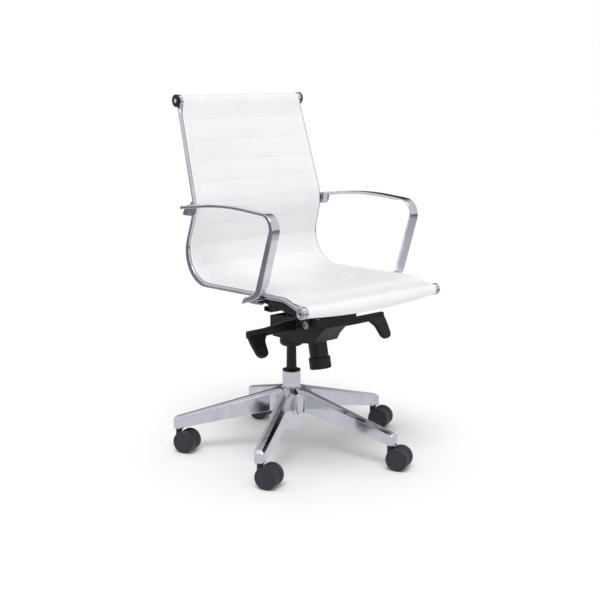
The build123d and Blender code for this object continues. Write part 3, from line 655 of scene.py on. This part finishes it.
def swell(piece):
    """Lets the padding swell between its sewn channels with a cloth simulation."""
    start = [v.co.copy() for v in piece.data.vertices]
    soft = [softness(point) for point in start]
    pins = piece.vertex_groups.new(name="pins")
    for k, share in enumerate(soft):
        pins.add([k], 1.0 if share < PINNED_SHARE else 0.0, "REPLACE")
    cloth = piece.modifiers.new("cloth", "CLOTH")
    settings = cloth.settings
    settings.vertex_group_mass = "pins"
    settings.quality = 5
    settings.mass = 0.25
    settings.tension_stiffness = 25
    settings.compression_stiffness = 12
    settings.shear_stiffness = 6
    settings.bending_stiffness = 0.3
    settings.use_pressure = True
    settings.uniform_pressure_force = SWELL_PRESSURE
    settings.effector_weights.gravity = 0
    cloth.point_cache.frame_start = 1
    cloth.point_cache.frame_end = SWELL_FRAMES
    scene = bpy.context.scene
    for number in range(1, SWELL_FRAMES + 1):
        scene.frame_set(number)
    apply_modifiers(piece)
    scene.frame_set(1)
    for vertex, origin, share in zip(piece.data.vertices, start, soft):
        move = vertex.co - origin
        if move.length:
            move = move.normalized() * min(move.length, SWELL_CAP * share)
        vertex.co = origin + move


def pucker(piece):
    """Small gathers beside the channels and a slow unevenness over the whole skin."""
    moved = []
    for vertex in piece.data.vertices:
        point = vertex.co
        share = softness(point)
        gathers = noise.noise(Vector((point.x * 85, point.y * 22, point.z * 22)))
        slow = noise.noise(Vector((point.x * 11, point.y * 14, point.z * 14 + 7)))
        beside = 4 * share * (1 - share)
        lift = gathers * GATHER_HEIGHT * beside + slow * UNEVEN_HEIGHT * min(share, 1)
        moved.extend(point + vertex.normal * lift)
    piece.data.vertices.foreach_set("co", moved)
    piece.data.update()


def subdivide(piece):
    """Smooths the skin with one level of subdivision."""
    modifier = piece.modifiers.new("subdivision", "SUBSURF")
    modifier.levels = 1
    modifier.render_levels = 1
    apply_modifiers(piece)


def leather_sling():
    """The padded leather that hangs between the cross tubes and the rails."""
    piece = build_sling()
    swell(piece)
    subdivide(piece)
    pucker(piece)
    piece.data.polygons.foreach_set("use_smooth", [True] * len(piece.data.polygons))
    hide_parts("sling")
    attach(piece, "seat")


STITCH_PITCH = 0.0042
STITCH_LENGTH = 0.0031
STITCH_RADIUS = 0.00042
STITCH_SIDES = 6
STITCH_MARGIN = 0.016
STITCH_LIFT = 0.0003
STITCH_SECTIONS = [      # (along, thickness, depth), as shares of the stitch's length and radius
    (-0.5, 0.3, 0.7), (-0.2, 1.0, 0.0), (0.2, 1.0, 0.0), (0.5, 0.3, 0.7),
]


def stitch(centre, along, out):
    """One lozenge of thread lying in a channel, as vertices and faces."""
    across = along.cross(out)
    points = []
    for reach, radius, sink in STITCH_SECTIONS:
        for turn in range(STITCH_SIDES):
            angle = 2 * math.pi * turn / STITCH_SIDES
            offset = across * math.cos(angle) + out * (math.sin(angle) - sink)
            points.append(centre + along * STITCH_LENGTH * reach + offset * STITCH_RADIUS * radius)
    sides = STITCH_SIDES
    faces = [tuple(range(sides)), tuple(range(len(points) - sides, len(points)))]
    for row in range(len(STITCH_SECTIONS) - 1):
        start = row * sides
        for k in range(sides):
            after = (k + 1) % sides
            faces.append((start + k, start + after, start + sides + after, start + sides + k))
    return points, faces


def stitching():
    """A row of stitches along the middle of every sewn channel, on both skins."""
    vertices, faces = [], []
    for seam in seam_distances():
        for side in (1, -1):
            y, z = skin_point(seam, 0.0, side, 0.0, 0.0)
            line = front_line if side > 0 else back_line
            along = seam if side > 0 else back_line.nearest(front_line.point(seam))
            normal = line.normal(along) * side
            reach = half_width(front_line.point(seam).y) - STITCH_MARGIN
            count = int(2 * reach / STITCH_PITCH)
            for k in range(count):
                x = -reach + 2 * reach * (k + 0.5) / count
                out = Vector((0, normal.x, normal.y))
                points, loops = stitch(Vector((x, y, z)) + out * STITCH_LIFT, Vector((1, 0, 0)), out)
                faces.extend([tuple(len(vertices) + v for v in loop) for loop in loops])
                vertices.extend(points)
    mesh = bpy.data.meshes.new("channel_stitching")
    mesh.from_pydata([tuple(v) for v in vertices], [], faces)
    mesh.materials.append(THREAD)
    mesh.polygons.foreach_set("use_smooth", [True] * len(mesh.polygons))
    piece = bpy.data.objects.new("channel_stitching", mesh)
    bpy.context.scene.collection.objects.link(piece)
    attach(piece, "seat")


# ---------------------------------------------------------------- rails

RAIL_EDGE = 0.0018
RAIL_CROWN = 0.0004
RAIL_FRONT_RADII = [0.10525, 0.0865, 0.06525]
RAIL_BACK_RADII = [0.09475, 0.089, 0.05475]
RAIL_STEPS = (6, 18)       # points on each straight run and each bend
TOP_EYE_RADIUS = 0.016
FRONT_EYE_RADIUS = 0.015
TUBE_RADIUS = 0.011


def leaning_x(side, x, z):
    """Where a side frame's x stands at a height: the frames lean in towards the top."""
    return side * (x - (z - RAIL_LEAN_Z) * RAIL_LEAN)


def rail(side, name):
    """A cast side rail: a slim bar with softened edges and an eye at each end."""
    half = RAIL_HALF_DEPTH
    front = rounded_line(offset_line(FRAME_LINE, half), RAIL_FRONT_RADII, *RAIL_STEPS)
    back = rounded_line(offset_line(FRAME_LINE, -half), RAIL_BACK_RADII, *RAIL_STEPS)
    rings = []
    for ahead, behind in zip(front, back):
        depth = (ahead - behind).length
        corners = [(RAIL_INNER_X, 0), (RAIL_OUTER_X, 0), (RAIL_OUTER_X + RAIL_CROWN, depth / 2),
                   (RAIL_OUTER_X, depth), (RAIL_INNER_X, depth)]
        ring = []
        for x, share in rounded_ring(corners, [RAIL_EDGE, RAIL_EDGE, 0.004, RAIL_EDGE, RAIL_EDGE]):
            y, z = behind.lerp(ahead, share / depth)
            ring.append(Vector((leaning_x(side, x, z), y, z)))
        rings.append(ring)
    parts = [loft(name, rings, ALUMINIUM)]
    for place, radius in ((TOP, TOP_EYE_RADIUS), (FRONT, FRONT_EYE_RADIUS)):
        start = RAIL_INNER_X - (place.y - RAIL_LEAN_Z) * RAIL_LEAN
        width = RAIL_OUTER_X - RAIL_INNER_X
        profile = rounded_ring([(TUBE_RADIUS, 0), (radius, 0), (radius, width),
                                (TUBE_RADIUS, width)], [0.0004, 0.0012, 0.0012, 0.0004])
        parts.append(lathe("eye", profile, (side * start, place.x, place.y), (side, 0, 0),
                           ALUMINIUM, closed=True))
    piece = join(name + "_casting", parts)
    even_normals(piece)
    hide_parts(name)
    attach(piece, "seat")


# ---------------------------------------------------------------- arms

ARM_INNER_X = 0.227
ARM_OUTER_X = 0.253
ARM_OUTER_EDGE = [(0.150, 0.677), (-0.030, 0.699), (-0.237, 0.686), (-0.172, 0.479),
                  (-0.104, 0.455)]
ARM_INNER_EDGE = [(0.150, 0.6685), (-0.030, 0.6905), (-0.217, 0.679), (-0.152, 0.490),
                  (-0.108, 0.470)]
ARM_OUTER_RADII = [0.9, 0.042, 0.036]
ARM_INNER_RADII = [0.9, 0.028, 0.026]
ARM_RUN_STEPS = 10
ARM_ARC_STEPS = 14
TAB_OUTLINE = [(0.168, 0.650), (0.152, 0.677), (0.100, 0.685), (0.106, 0.660), (0.116, 0.651)]
TAB_THICKNESS = 0.011
FOOT_OUTLINE = [(-0.160, 0.461), (-0.106, 0.461), (-0.106, 0.4732), (-0.160, 0.4732)]
FOOT_INNER_X = 0.224
FOOT_OUTER_X = 0.250


def arm_ring(ahead, behind, side, wedge, inner_x):
    """One section of the arm: thick at its outer side and thinner at its inner side."""
    depth = (ahead - behind).length
    near_low = depth * (0.10 + 0.38 * wedge)
    near_high = depth * (0.97 - 0.17 * wedge)
    corners = [(inner_x, near_low), (ARM_OUTER_X, 0), (ARM_OUTER_X, depth), (inner_x, near_high)]
    sharp = min(0.0016, (near_high - near_low) * 0.45)
    ring = []
    for x, share in rounded_ring(corners, [sharp, 0.0022, 0.0022, sharp]):
        y, z = behind.lerp(ahead, share / depth)
        ring.append(Vector((side * x, y, z)))
    return ring


def plate(name, outline, x_from, x_to, corner, edge, material):
    """A flat plate standing in the (y, z) plane, with rounded corners and edges."""
    outline = rounded_ring(outline, [corner] * len(outline), 5)
    middle = sum((Vector(p) for p in outline), Vector((0, 0))) / len(outline)
    sign = 1 if x_to > x_from else -1
    rings = []
    steps = 4
    for k in range(steps + 1):
        angle = math.pi / 2 * k / steps
        rings.append((x_from + sign * edge * (1 - math.sin(angle)), edge * (1 - math.cos(angle))))
    rings = list(reversed(rings))
    rings += [(x_from + x_to - x, inset) for x, inset in reversed(rings)]
    made = []
    for x, inset in rings:
        ring = []
        for k, point in enumerate(outline):
            along = (outline[(k + 1) % len(outline)] - outline[k - 1]).normalized()
            normal = Vector((along.y, -along.x))
            if normal.dot(middle - point) < 0:
                normal = -normal
            y, z = point + normal * inset
            ring.append(Vector((x, y, z)))
        made.append(ring)
    return loft(name, made, material)


def arm(side, name):
    """A polished arm: top strap, rounded corner, wedge-shaped leg, foot and rear tab."""
    ahead = rounded_line(ARM_OUTER_EDGE, ARM_OUTER_RADII, ARM_RUN_STEPS, ARM_ARC_STEPS)
    behind = rounded_line(ARM_INNER_EDGE, ARM_INNER_RADII, ARM_RUN_STEPS, ARM_ARC_STEPS)
    rings = []
    for outer, inner in zip(ahead, behind):
        z = (outer.y + inner.y) / 2
        strap = smooth_step((outer.x + 0.200) / 0.05) if z > 0.6 else 0.0
        past_rail = 1 - smooth_step((z - 0.490) / 0.03)
        inner_x = ARM_INNER_X + (RAIL_OUTER_X + 0.0008 - ARM_INNER_X) * past_rail
        rings.append(arm_ring(outer, inner, side, 1 - strap, inner_x))
    parts = [loft(name, rings, ALUMINIUM)]
    tab_x = RAIL_OUTER_X + 0.0003 - (0.650 - RAIL_LEAN_Z) * RAIL_LEAN
    parts.append(plate("tab", TAB_OUTLINE, side * tab_x, side * (tab_x + TAB_THICKNESS),
                       0.004, 0.0018, ALUMINIUM))
    parts.append(plate("foot", FOOT_OUTLINE, side * FOOT_INNER_X, side * FOOT_OUTER_X,
                       0.003, 0.002, ALUMINIUM))
    piece = join(name + "_casting", parts)
    even_normals(piece)
    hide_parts(name)
    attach(piece, "seat")


# ---------------------------------------------------------------- star base

LEG_COUNT = 5
FIRST_LEG_ANGLE = 70.3
LEG_ROOT = 0.020
LEG_TIP = 0.323
LEG_HALF_WIDTHS = (0.021, 0.0145)
LEG_TOPS = (0.178, 0.094)
LEG_FLOORS = (0.120, 0.063)
LEG_STRIP_HALF = 0.006
LEG_BEVEL_DROP = 0.005
LEG_WALL = 0.004
LEG_SKIN = 0.009
CROTCH_RADIUS = 0.026
TIP_CORNER_RADIUS = 0.009
TUBE_SEAT_RADIUS = 0.025
STEM_FROM_AXIS = 0.308
CROTCH_STEPS = 10
SIDE_STEPS = 22
TIP_STEPS = 8
END_STEPS = 3
STRIP_END_GAP = 0.012
STRIP_END_TURN = 0.006
UP = (0, 0, 1)


def leg_value(pair, radius):
    """A leg's size at a distance from the column: it changes evenly from root to tip."""
    return pair[0] + (pair[1] - pair[0]) * (radius - LEG_ROOT) / (LEG_TIP - LEG_ROOT)


def leg_outline():
    """Half of a leg seen from above: (edge point, inward normal, point on the middle line)."""
    taper = math.atan((LEG_HALF_WIDTHS[0] - LEG_HALF_WIDTHS[1]) / (LEG_TIP - LEG_ROOT))
    half_gap = math.pi / LEG_COUNT
    side_reach = LEG_ROOT * math.sin(taper) + LEG_HALF_WIDTHS[0] * math.cos(taper)
    out = (CROTCH_RADIUS + side_reach) / math.sin(half_gap + taper)
    centre = Vector((math.cos(half_gap), math.sin(half_gap))) * out
    samples = []
    start, end = math.pi + half_gap, 1.5 * math.pi - taper
    for k in range(CROTCH_STEPS + 1):
        share = k / CROTCH_STEPS
        angle = start + (end - start) * share
        direction = Vector((math.cos(angle), math.sin(angle)))
        ring = half_gap * (1 - share)
        middle = Vector((math.cos(ring), math.sin(ring))) * TUBE_SEAT_RADIUS
        samples.append((centre + direction * CROTCH_RADIUS, direction, middle))
    first = samples[-1][0]
    corner = Vector((LEG_TIP - TIP_CORNER_RADIUS, LEG_HALF_WIDTHS[1] - TIP_CORNER_RADIUS))
    last = corner + Vector((math.sin(taper), math.cos(taper))) * TIP_CORNER_RADIUS
    inward = Vector((-math.sin(taper), -math.cos(taper)))
    end_of_strip = LEG_TIP - STRIP_END_GAP
    for k in range(1, SIDE_STEPS + 1):
        share = k / SIDE_STEPS
        along = TUBE_SEAT_RADIUS + (end_of_strip - STRIP_END_TURN - TUBE_SEAT_RADIUS) * share
        samples.append((first.lerp(last, share), inward, Vector((along, 0))))
    for k in range(1, TIP_STEPS + 1):
        angle = (math.pi / 2 - taper) * (1 - k / TIP_STEPS)
        direction = Vector((math.cos(angle), math.sin(angle)))
        along = end_of_strip - STRIP_END_TURN * (1 - k / TIP_STEPS)
        samples.append((corner + direction * TIP_CORNER_RADIUS, -direction, Vector((along, 0))))
    for k in range(1, END_STEPS + 1):
        point = Vector((LEG_TIP, corner.y * (1 - k / END_STEPS)))
        samples.append((point, Vector((-1, 0)), Vector((end_of_strip, 0))))
    return samples


def leg_section(point, inward, middle):
    """The wall of a leg at one point of its outline, from the top's middle to the ceiling's."""
    radius = point.x
    bevel = leg_value(LEG_HALF_WIDTHS, max(radius, LEG_ROOT)) - LEG_STRIP_HALF
    height = leg_value(LEG_TOPS, radius) - leg_value(LEG_FLOORS, radius)
    corners = [
        (bevel + 0.0015, 0.0), (bevel, 0.0), (0.0, -LEG_BEVEL_DROP), (0.0, -height),
        (LEG_WALL, -height), (LEG_WALL, -LEG_SKIN), (LEG_WALL + 0.003, -LEG_SKIN),
    ]
    profile = rounded_line(corners, [0.0012, 0.0018, 0.0012, 0.0012, 0.002], 1, 3)
    section = [Vector((middle.x, middle.y, leg_value(LEG_TOPS, middle.x)))]
    for inset, drop in profile:
        spot = point + inward * inset
        section.append(Vector((spot.x, spot.y, leg_value(LEG_TOPS, spot.x) + drop)))
    section.append(Vector((middle.x, middle.y, leg_value(LEG_TOPS, middle.x) - LEG_SKIN)))
    return section


def leg_skin(angle, mirror):
    """Half a leg's skin, turned to its place in the star."""
    turn = Matrix.Rotation(math.radians(angle), 3, "Z")
    sections = [leg_section(*sample) for sample in leg_outline()]
    vertices, faces = [], []
    count = len(sections[0])
    for section in sections:
        for point in section:
            y = -point.y if mirror else point.y
            vertices.append(turn @ Vector((point.x, y, point.z)))
    for row in range(len(sections) - 1):
        for k in range(count - 1):
            a = row * count + k
            faces.append((a, a + 1, a + count + 1, a + count))
    return vertices, faces


def star_base():
    """The polished star: five hollow legs that run into each other, a hub and five sockets."""
    vertices, faces = [], []
    for index in range(LEG_COUNT):
        angle = FIRST_LEG_ANGLE + index * 360 / LEG_COUNT
        for mirror in (False, True):
            points, loops = leg_skin(angle, mirror)
            faces.extend([tuple(len(vertices) + v for v in loop) for loop in loops])
            vertices.extend(points)
    parts = [make_object("star", vertices, faces, ALUMINIUM)]
    hub = rounded_ring([(0.0251, 0.102), (0.034, 0.102), (0.034, 0.172), (0.0251, 0.172)],
                       [0.0005, 0.002, 0.001, 0.0005])
    parts.append(lathe("hub", hub, (0, 0, 0), UP, ALUMINIUM, closed=True))
    collar = rounded_ring([(0.0251, 0.172), (0.0285, 0.172), (0.0275, 0.1795), (0.0251, 0.1795)],
                          [0.0003, 0.0008, 0.0006, 0.0003])
    parts.append(lathe("collar", collar, (0, 0, 0), UP, ALUMINIUM, closed=True))
    for index in range(LEG_COUNT):
        angle = math.radians(FIRST_LEG_ANGLE + index * 360 / LEG_COUNT)
        place = (STEM_FROM_AXIS * math.cos(angle), STEM_FROM_AXIS * math.sin(angle), 0)
        socket = rounded_ring([(0.0056, 0.063), (0.0120, 0.063), (0.0120, 0.088), (0.0056, 0.088)],
                              [0.0004, 0.0008, 0.001, 0.0004])
        parts.append(lathe("socket", socket, place, UP, ALUMINIUM, 32, closed=True))
    piece = join("star_base_casting", parts)
    even_normals(piece)
    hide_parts("star_base")
    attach(piece, "base")


# ---------------------------------------------------------------- caster wheels

WHEEL_PROFILE = [     # (radius, distance from the wheel's inner face), millimetres
    (0.0, 18.3), (5.0, 18.3), (5.6, 17.9), (6.4, 17.9), (7.0, 18.2), (23.6, 17.6), (24.2, 16.9),
    (25.0, 16.9), (25.5, 17.9), (26.4, 18.6), (27.4, 18.7), (28.7, 18.2), (29.6, 17.1),
    (30.0, 15.4), (30.0, 3.6), (29.7, 1.9), (28.9, 0.7), (27.6, 0.2), (26.0, 0.2), (25.4, 2.0),
    (25.0, 6.0), (10.0, 6.0), (9.4, 0.4), (4.2, 0.3), (0.0, 0.3),
]


WHEEL_HALF_WIDTH = 0.0095
WHEEL_SEGMENTS = 96
SMALLEST_RADIUS = 0.00002


def caster_wheel(node, other):
    """A nylon wheel with a rounded tread, a rim line and a shallow dished face."""
    centre = sum(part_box(node), Vector()) / 2
    away = centre - sum(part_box(other), Vector()) / 2
    axis = away.normalized()
    profile = [(max(radius * MM, SMALLEST_RADIUS), distance * MM - WHEEL_HALF_WIDTH)
               for radius, distance in WHEEL_PROFILE]
    piece = lathe(node + "_tyre", profile, centre, axis, NYLON, WHEEL_SEGMENTS)
    even_normals(piece)
    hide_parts(node)
    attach(piece, node)


# ---------------------------------------------------------------- levers and spring

BAR_HALF = (0.007, 0.010)
PADDLE_HALF_WIDTH = 0.023
PADDLE_TIP_RADIUS = 0.017
PADDLE_DROP = 0.068
PADDLE_LEAN = math.radians(36)
PADDLE_WEB = 0.016         # how far the paddle reaches back along the bar
PADDLE_LAYERS = [          # (depth, inset) of the paddle's outline through its thickness, mm
    (-5.2, 2.2), (-4.7, 0.6), (-3.2, 0.0), (3.2, 0.0), (4.7, 0.6), (5.2, 2.2),
]
BAR_STEPS = 12
BAR_EDGE = 0.0035
LEVER_Z = 0.362
MOULDING_VOXEL = 0.0011
MOULDING_PASSES = 6


def remesh_smooth(piece):
    """Blends overlapping solids into one moulded body with soft inner corners."""
    blend = piece.modifiers.new("blend", "REMESH")
    blend.mode = "VOXEL"
    blend.voxel_size = MOULDING_VOXEL
    blend.use_smooth_shade = True
    soften = piece.modifiers.new("soften", "SMOOTH")
    soften.factor = 0.5
    soften.iterations = MOULDING_PASSES
    apply_modifiers(piece)


def lever_handle(node, side, bar_y, root_rise, body):
    """A moulded handle: a bar that runs out under the seat, with a paddle bent forward."""
    root = min(abs(c.x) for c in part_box(node)) + 0.0012
    reach = max(abs(c.x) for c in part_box(node))
    half_y, half_z = BAR_HALF
    rings = []
    for k in range(BAR_STEPS + 1):
        share = k / BAR_STEPS
        x = root + (reach - 0.002 - root) * share
        rise = root_rise * (1 - smooth_step(share / 0.75))
        corners = [(-half_y, -half_z), (half_y, -half_z), (half_y, half_z + rise),
                   (-half_y, half_z + rise)]
        rings.append([Vector((side * x, bar_y + y, LEVER_Z + z))
                      for y, z in rounded_ring(corners, [BAR_EDGE] * 4)])
    bar = loft("bar", rings, PLASTIC)
    half = PADDLE_HALF_WIDTH
    outline = [(half, 0.007), (half, -0.022), (PADDLE_TIP_RADIUS, -PADDLE_DROP),
               (-PADDLE_TIP_RADIUS, -PADDLE_DROP), (-half, -0.026), (-half - PADDLE_WEB, -0.006),
               (-half - PADDLE_WEB, 0.007)]
    radii = [0.003, 0.02, 0.0165, 0.0165, 0.012, 0.004, 0.003]
    ring = rounded_ring(outline, radii, 6)
    middle = side * (reach - half)
    turn = Matrix.Rotation(-PADDLE_LEAN, 3, "X")
    rings = []
    for depth, inset in PADDLE_LAYERS:
        layer = []
        for k, point in enumerate(ring):
            along = (ring[(k + 1) % len(ring)] - ring[k - 1]).normalized()
            inward = Vector((along.y, -along.x))
            spot = point + inward * inset * MM
            local = turn @ Vector((side * spot.x, depth * MM, spot.y))
            layer.append(Vector((middle, bar_y, LEVER_Z)) + local)
        rings.append(layer)
    paddle = loft("paddle", rings, PLASTIC)
    piece = join(node + "_moulding", [bar, paddle])
    remesh_smooth(piece)
    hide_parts(node)
    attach(piece, body)


KNOB_FOOT = Vector((0, -0.104, 0.320))
KNOB_LEAN = math.radians(11.5)
KNOB_AXIS = Vector((0, math.sin(KNOB_LEAN), math.cos(KNOB_LEAN)))
COIL_RADIUS = 0.013
WIRE_RADIUS = 0.0024
COIL_START = 0.0385
COIL_END = 0.1045
COIL_TURNS = 6.5
STEPS_PER_TURN = 40
WIRE_SIDES = 12


def tension_spring():
    """The coil spring the seat leans back against."""
    side = KNOB_AXIS.orthogonal().normalized()
    other = KNOB_AXIS.cross(side)
    rings = []
    count = int(COIL_TURNS * STEPS_PER_TURN)
    for k in range(count + 1):
        share = k / count
        rise = smooth_step(share) * 0.35 + share * 0.65
        angle = 2 * math.pi * COIL_TURNS * share
        radial = side * math.cos(angle) + other * math.sin(angle)
        along = COIL_START + (COIL_END - COIL_START) * rise
        centre = KNOB_FOOT + KNOB_AXIS * along + radial * COIL_RADIUS
        ring = []
        for n in range(WIRE_SIDES):
            turn = 2 * math.pi * n / WIRE_SIDES
            ring.append(centre + (radial * math.cos(turn) + KNOB_AXIS * math.sin(turn)) * WIRE_RADIUS)
        rings.append(ring)
    piece = loft("tension_spring_coil", rings, STEEL)
    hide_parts("tension_spring")
    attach(piece, "column")
    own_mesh(piece)


leather_sling()
stitching()
for side, name in ((1, "left"), (-1, "right")):
    rail(side, f"{name}_rail")
    arm(side, f"{name}_arm")
star_base()
for index in range(1, LEG_COUNT + 1):
    pair = [f"caster_{index}_wheel_{letter}" for letter in "ab"]
    for node, other in (pair, pair[::-1]):
        caster_wheel(node, other)
lever_handle("height_lever_handle", -1, -0.066, 0.010, "height_lever")
lever_handle("tilt_lever_handle", 1, -0.122, 0.0, "tilt_lever")
tension_spring()
for name, node in NODES.items():
    if not node.hide_render:
        dress(name)


# ---------------------------------------------------------------- floor, light and camera

FLOOR_HALF_SIZE = 12.0
FLOOR_FADE = (0.38, 1.0)         # distances between which the floor turns white
MIRRORED_FADE = (0.5, 2.4)       # distances between which its reflection turns dark


def plain_stage():
    """A pale floor that fades to white away from the chair, and reflects as a darker one."""
    material, tree, shader = new_material("studio_floor", (0.95, 0.95, 0.95), roughness=0.9)
    shader.inputs["Specular IOR Level"].default_value = 0.0
    source = tree.nodes.new("ShaderNodeTexCoord")
    distance = tree.nodes.new("ShaderNodeVectorMath")
    distance.operation = "LENGTH"
    tree.links.new(source.outputs["Object"], distance.inputs[0])
    glow = tree.nodes.new("ShaderNodeEmission")
    glow.inputs["Strength"].default_value = 1.03
    mix = tree.nodes.new("ShaderNodeMixShader")
    fade = remap(tree, distance.outputs["Value"], 0.0, 1.0, *FLOOR_FADE)
    tree.links.new(fade, mix.inputs["Fac"])
    tree.links.new(shader.outputs["BSDF"], mix.inputs[1])
    tree.links.new(glow.outputs["Emission"], mix.inputs[2])
    output = next(n for n in tree.nodes if n.type == "OUTPUT_MATERIAL")
    mirrored = tree.nodes.new("ShaderNodeEmission")
    share = remap(tree, distance.outputs["Value"], 0.0, 1.0, *MIRRORED_FADE)
    depth = ramp(tree, share, (0.74, 0.74, 0.78), (0.2, 0.2, 0.23), 0.0, 1.0)
    tree.links.new(depth, mirrored.inputs["Color"])
    paths = tree.nodes.new("ShaderNodeLightPath")
    choose = tree.nodes.new("ShaderNodeMixShader")
    tree.links.new(paths.outputs["Is Glossy Ray"], choose.inputs["Fac"])
    tree.links.new(mix.outputs["Shader"], choose.inputs[1])
    tree.links.new(mirrored.outputs["Emission"], choose.inputs[2])
    tree.links.new(choose.outputs["Shader"], output.inputs["Surface"])
    size = FLOOR_HALF_SIZE
    corners = [(-size, -size, 0), (size, -size, 0), (size, size, 0), (-size, size, 0)]
    floor = make_object("floor", corners, [(0, 1, 2, 3)], material, smooth=False)


REFLECTED_SKY = (     # (height of the direction, brightness of what a shiny surface sees)
    (0.00, 0.60), (0.30, 0.50), (0.45, 0.25), (0.50, 0.22), (0.55, 0.18), (0.585, 0.04),
    (0.84, 0.035), (0.90, 0.50), (1.00, 0.85),
)


def studio_world():
    """White for direct sight; for reflections, a dark drape behind and light on both sides."""
    world = bpy.data.worlds.new("studio")
    world.use_nodes = True
    tree = world.node_tree
    background = tree.nodes["Background"]
    source = tree.nodes.new("ShaderNodeTexCoord")
    split = tree.nodes.new("ShaderNodeSeparateXYZ")
    tree.links.new(source.outputs["Generated"], split.inputs["Vector"])
    height = remap(tree, split.outputs["Z"], 0.0, 1.0, -1.0, 1.0)
    bands = tree.nodes.new("ShaderNodeValToRGB")
    stops = bands.color_ramp.elements
    for at, _ in REFLECTED_SKY[1:-1]:
        stops.new(at)
    for stop, (at, shade) in zip(stops, REFLECTED_SKY):
        stop.position = at
        stop.color = (shade, shade, shade * 1.04, 1)
    tree.links.new(height, bands.inputs["Fac"])
    toward = tree.nodes.new("ShaderNodeVectorMath")
    toward.operation = "DOT_PRODUCT"
    toward.inputs[1].default_value = (-0.749, 0.662, 0.0)
    tree.links.new(source.outputs["Generated"], toward.inputs[0])
    sideways = tree.nodes.new("ShaderNodeMath")
    sideways.operation = "ABSOLUTE"
    tree.links.new(toward.outputs["Value"], sideways.inputs[0])
    bright_side = remap(tree, sideways.outputs["Value"], 0.0, 0.85, 0.12, 0.5)
    lit = tree.nodes.new("ShaderNodeMix")
    lit.data_type = "RGBA"
    tree.links.new(bright_side, lit.inputs[0])
    tree.links.new(bands.outputs["Color"], lit.inputs[6])
    lit.inputs[7].default_value = (0.9, 0.9, 0.93, 1)
    paths = tree.nodes.new("ShaderNodeLightPath")
    choose = tree.nodes.new("ShaderNodeMix")
    choose.data_type = "RGBA"
    tree.links.new(paths.outputs["Is Glossy Ray"], choose.inputs[0])
    choose.inputs[6].default_value = (1, 1, 1, 1)
    tree.links.new(lit.outputs[2], choose.inputs[7])
    tree.links.new(choose.outputs[2], background.inputs["Color"])
    strength = remap(tree, paths.outputs["Is Diffuse Ray"], 1.0, 0.6, 0.0, 1.0)
    tree.links.new(strength, background.inputs["Strength"])
    bpy.context.scene.world = world


def soft_sun(name, toward, angle, strength):
    """A very wide, soft sun shining along a direction."""
    data = bpy.data.lights.new(name, "SUN")
    data.angle = math.radians(angle)
    data.energy = strength
    light = bpy.data.objects.new(name, data)
    light.rotation_euler = Vector(toward).to_track_quat("-Z", "Y").to_euler()
    bpy.context.scene.collection.objects.link(light)


CAMERA_AZIMUTH = math.radians(-41.4776)
CAMERA_ELEVATION = math.radians(11.4905)
CAMERA_DISTANCE = 3.0768
CAMERA_LENS = 68.46
AIM_HEIGHT = 0.416
AIM_SHIFT = 0.02312


def place_camera():
    """The camera: to the chair's right, in front of it and a little above."""
    azimuth = CAMERA_AZIMUTH
    elevation = CAMERA_ELEVATION
    right = Vector((math.cos(azimuth), math.sin(azimuth), 0))
    aim = Vector((0, 0, AIM_HEIGHT)) + right * AIM_SHIFT
    back = Vector((math.sin(azimuth) * math.cos(elevation),
                   -math.cos(azimuth) * math.cos(elevation), math.sin(elevation)))
    data = bpy.data.cameras.new("camera")
    data.lens = CAMERA_LENS
    data.sensor_width = 36.0
    camera = bpy.data.objects.new("camera", data)
    camera.location = aim + back * CAMERA_DISTANCE
    camera.rotation_euler = (-back).to_track_quat("-Z", "Y").to_euler()
    bpy.context.scene.collection.objects.link(camera)
    bpy.context.scene.camera = camera


plain_stage()
studio_world()
soft_sun("key", (0.4, 0.35, -1.0), 30, 1.3)
soft_sun("fill", (0.4, 0.85, -0.3), 60, 0.4)
soft_sun("top", (0.1, 0.2, -1.0), 60, 0.2)
place_camera()
bpy.context.scene.view_settings.view_transform = "Standard"
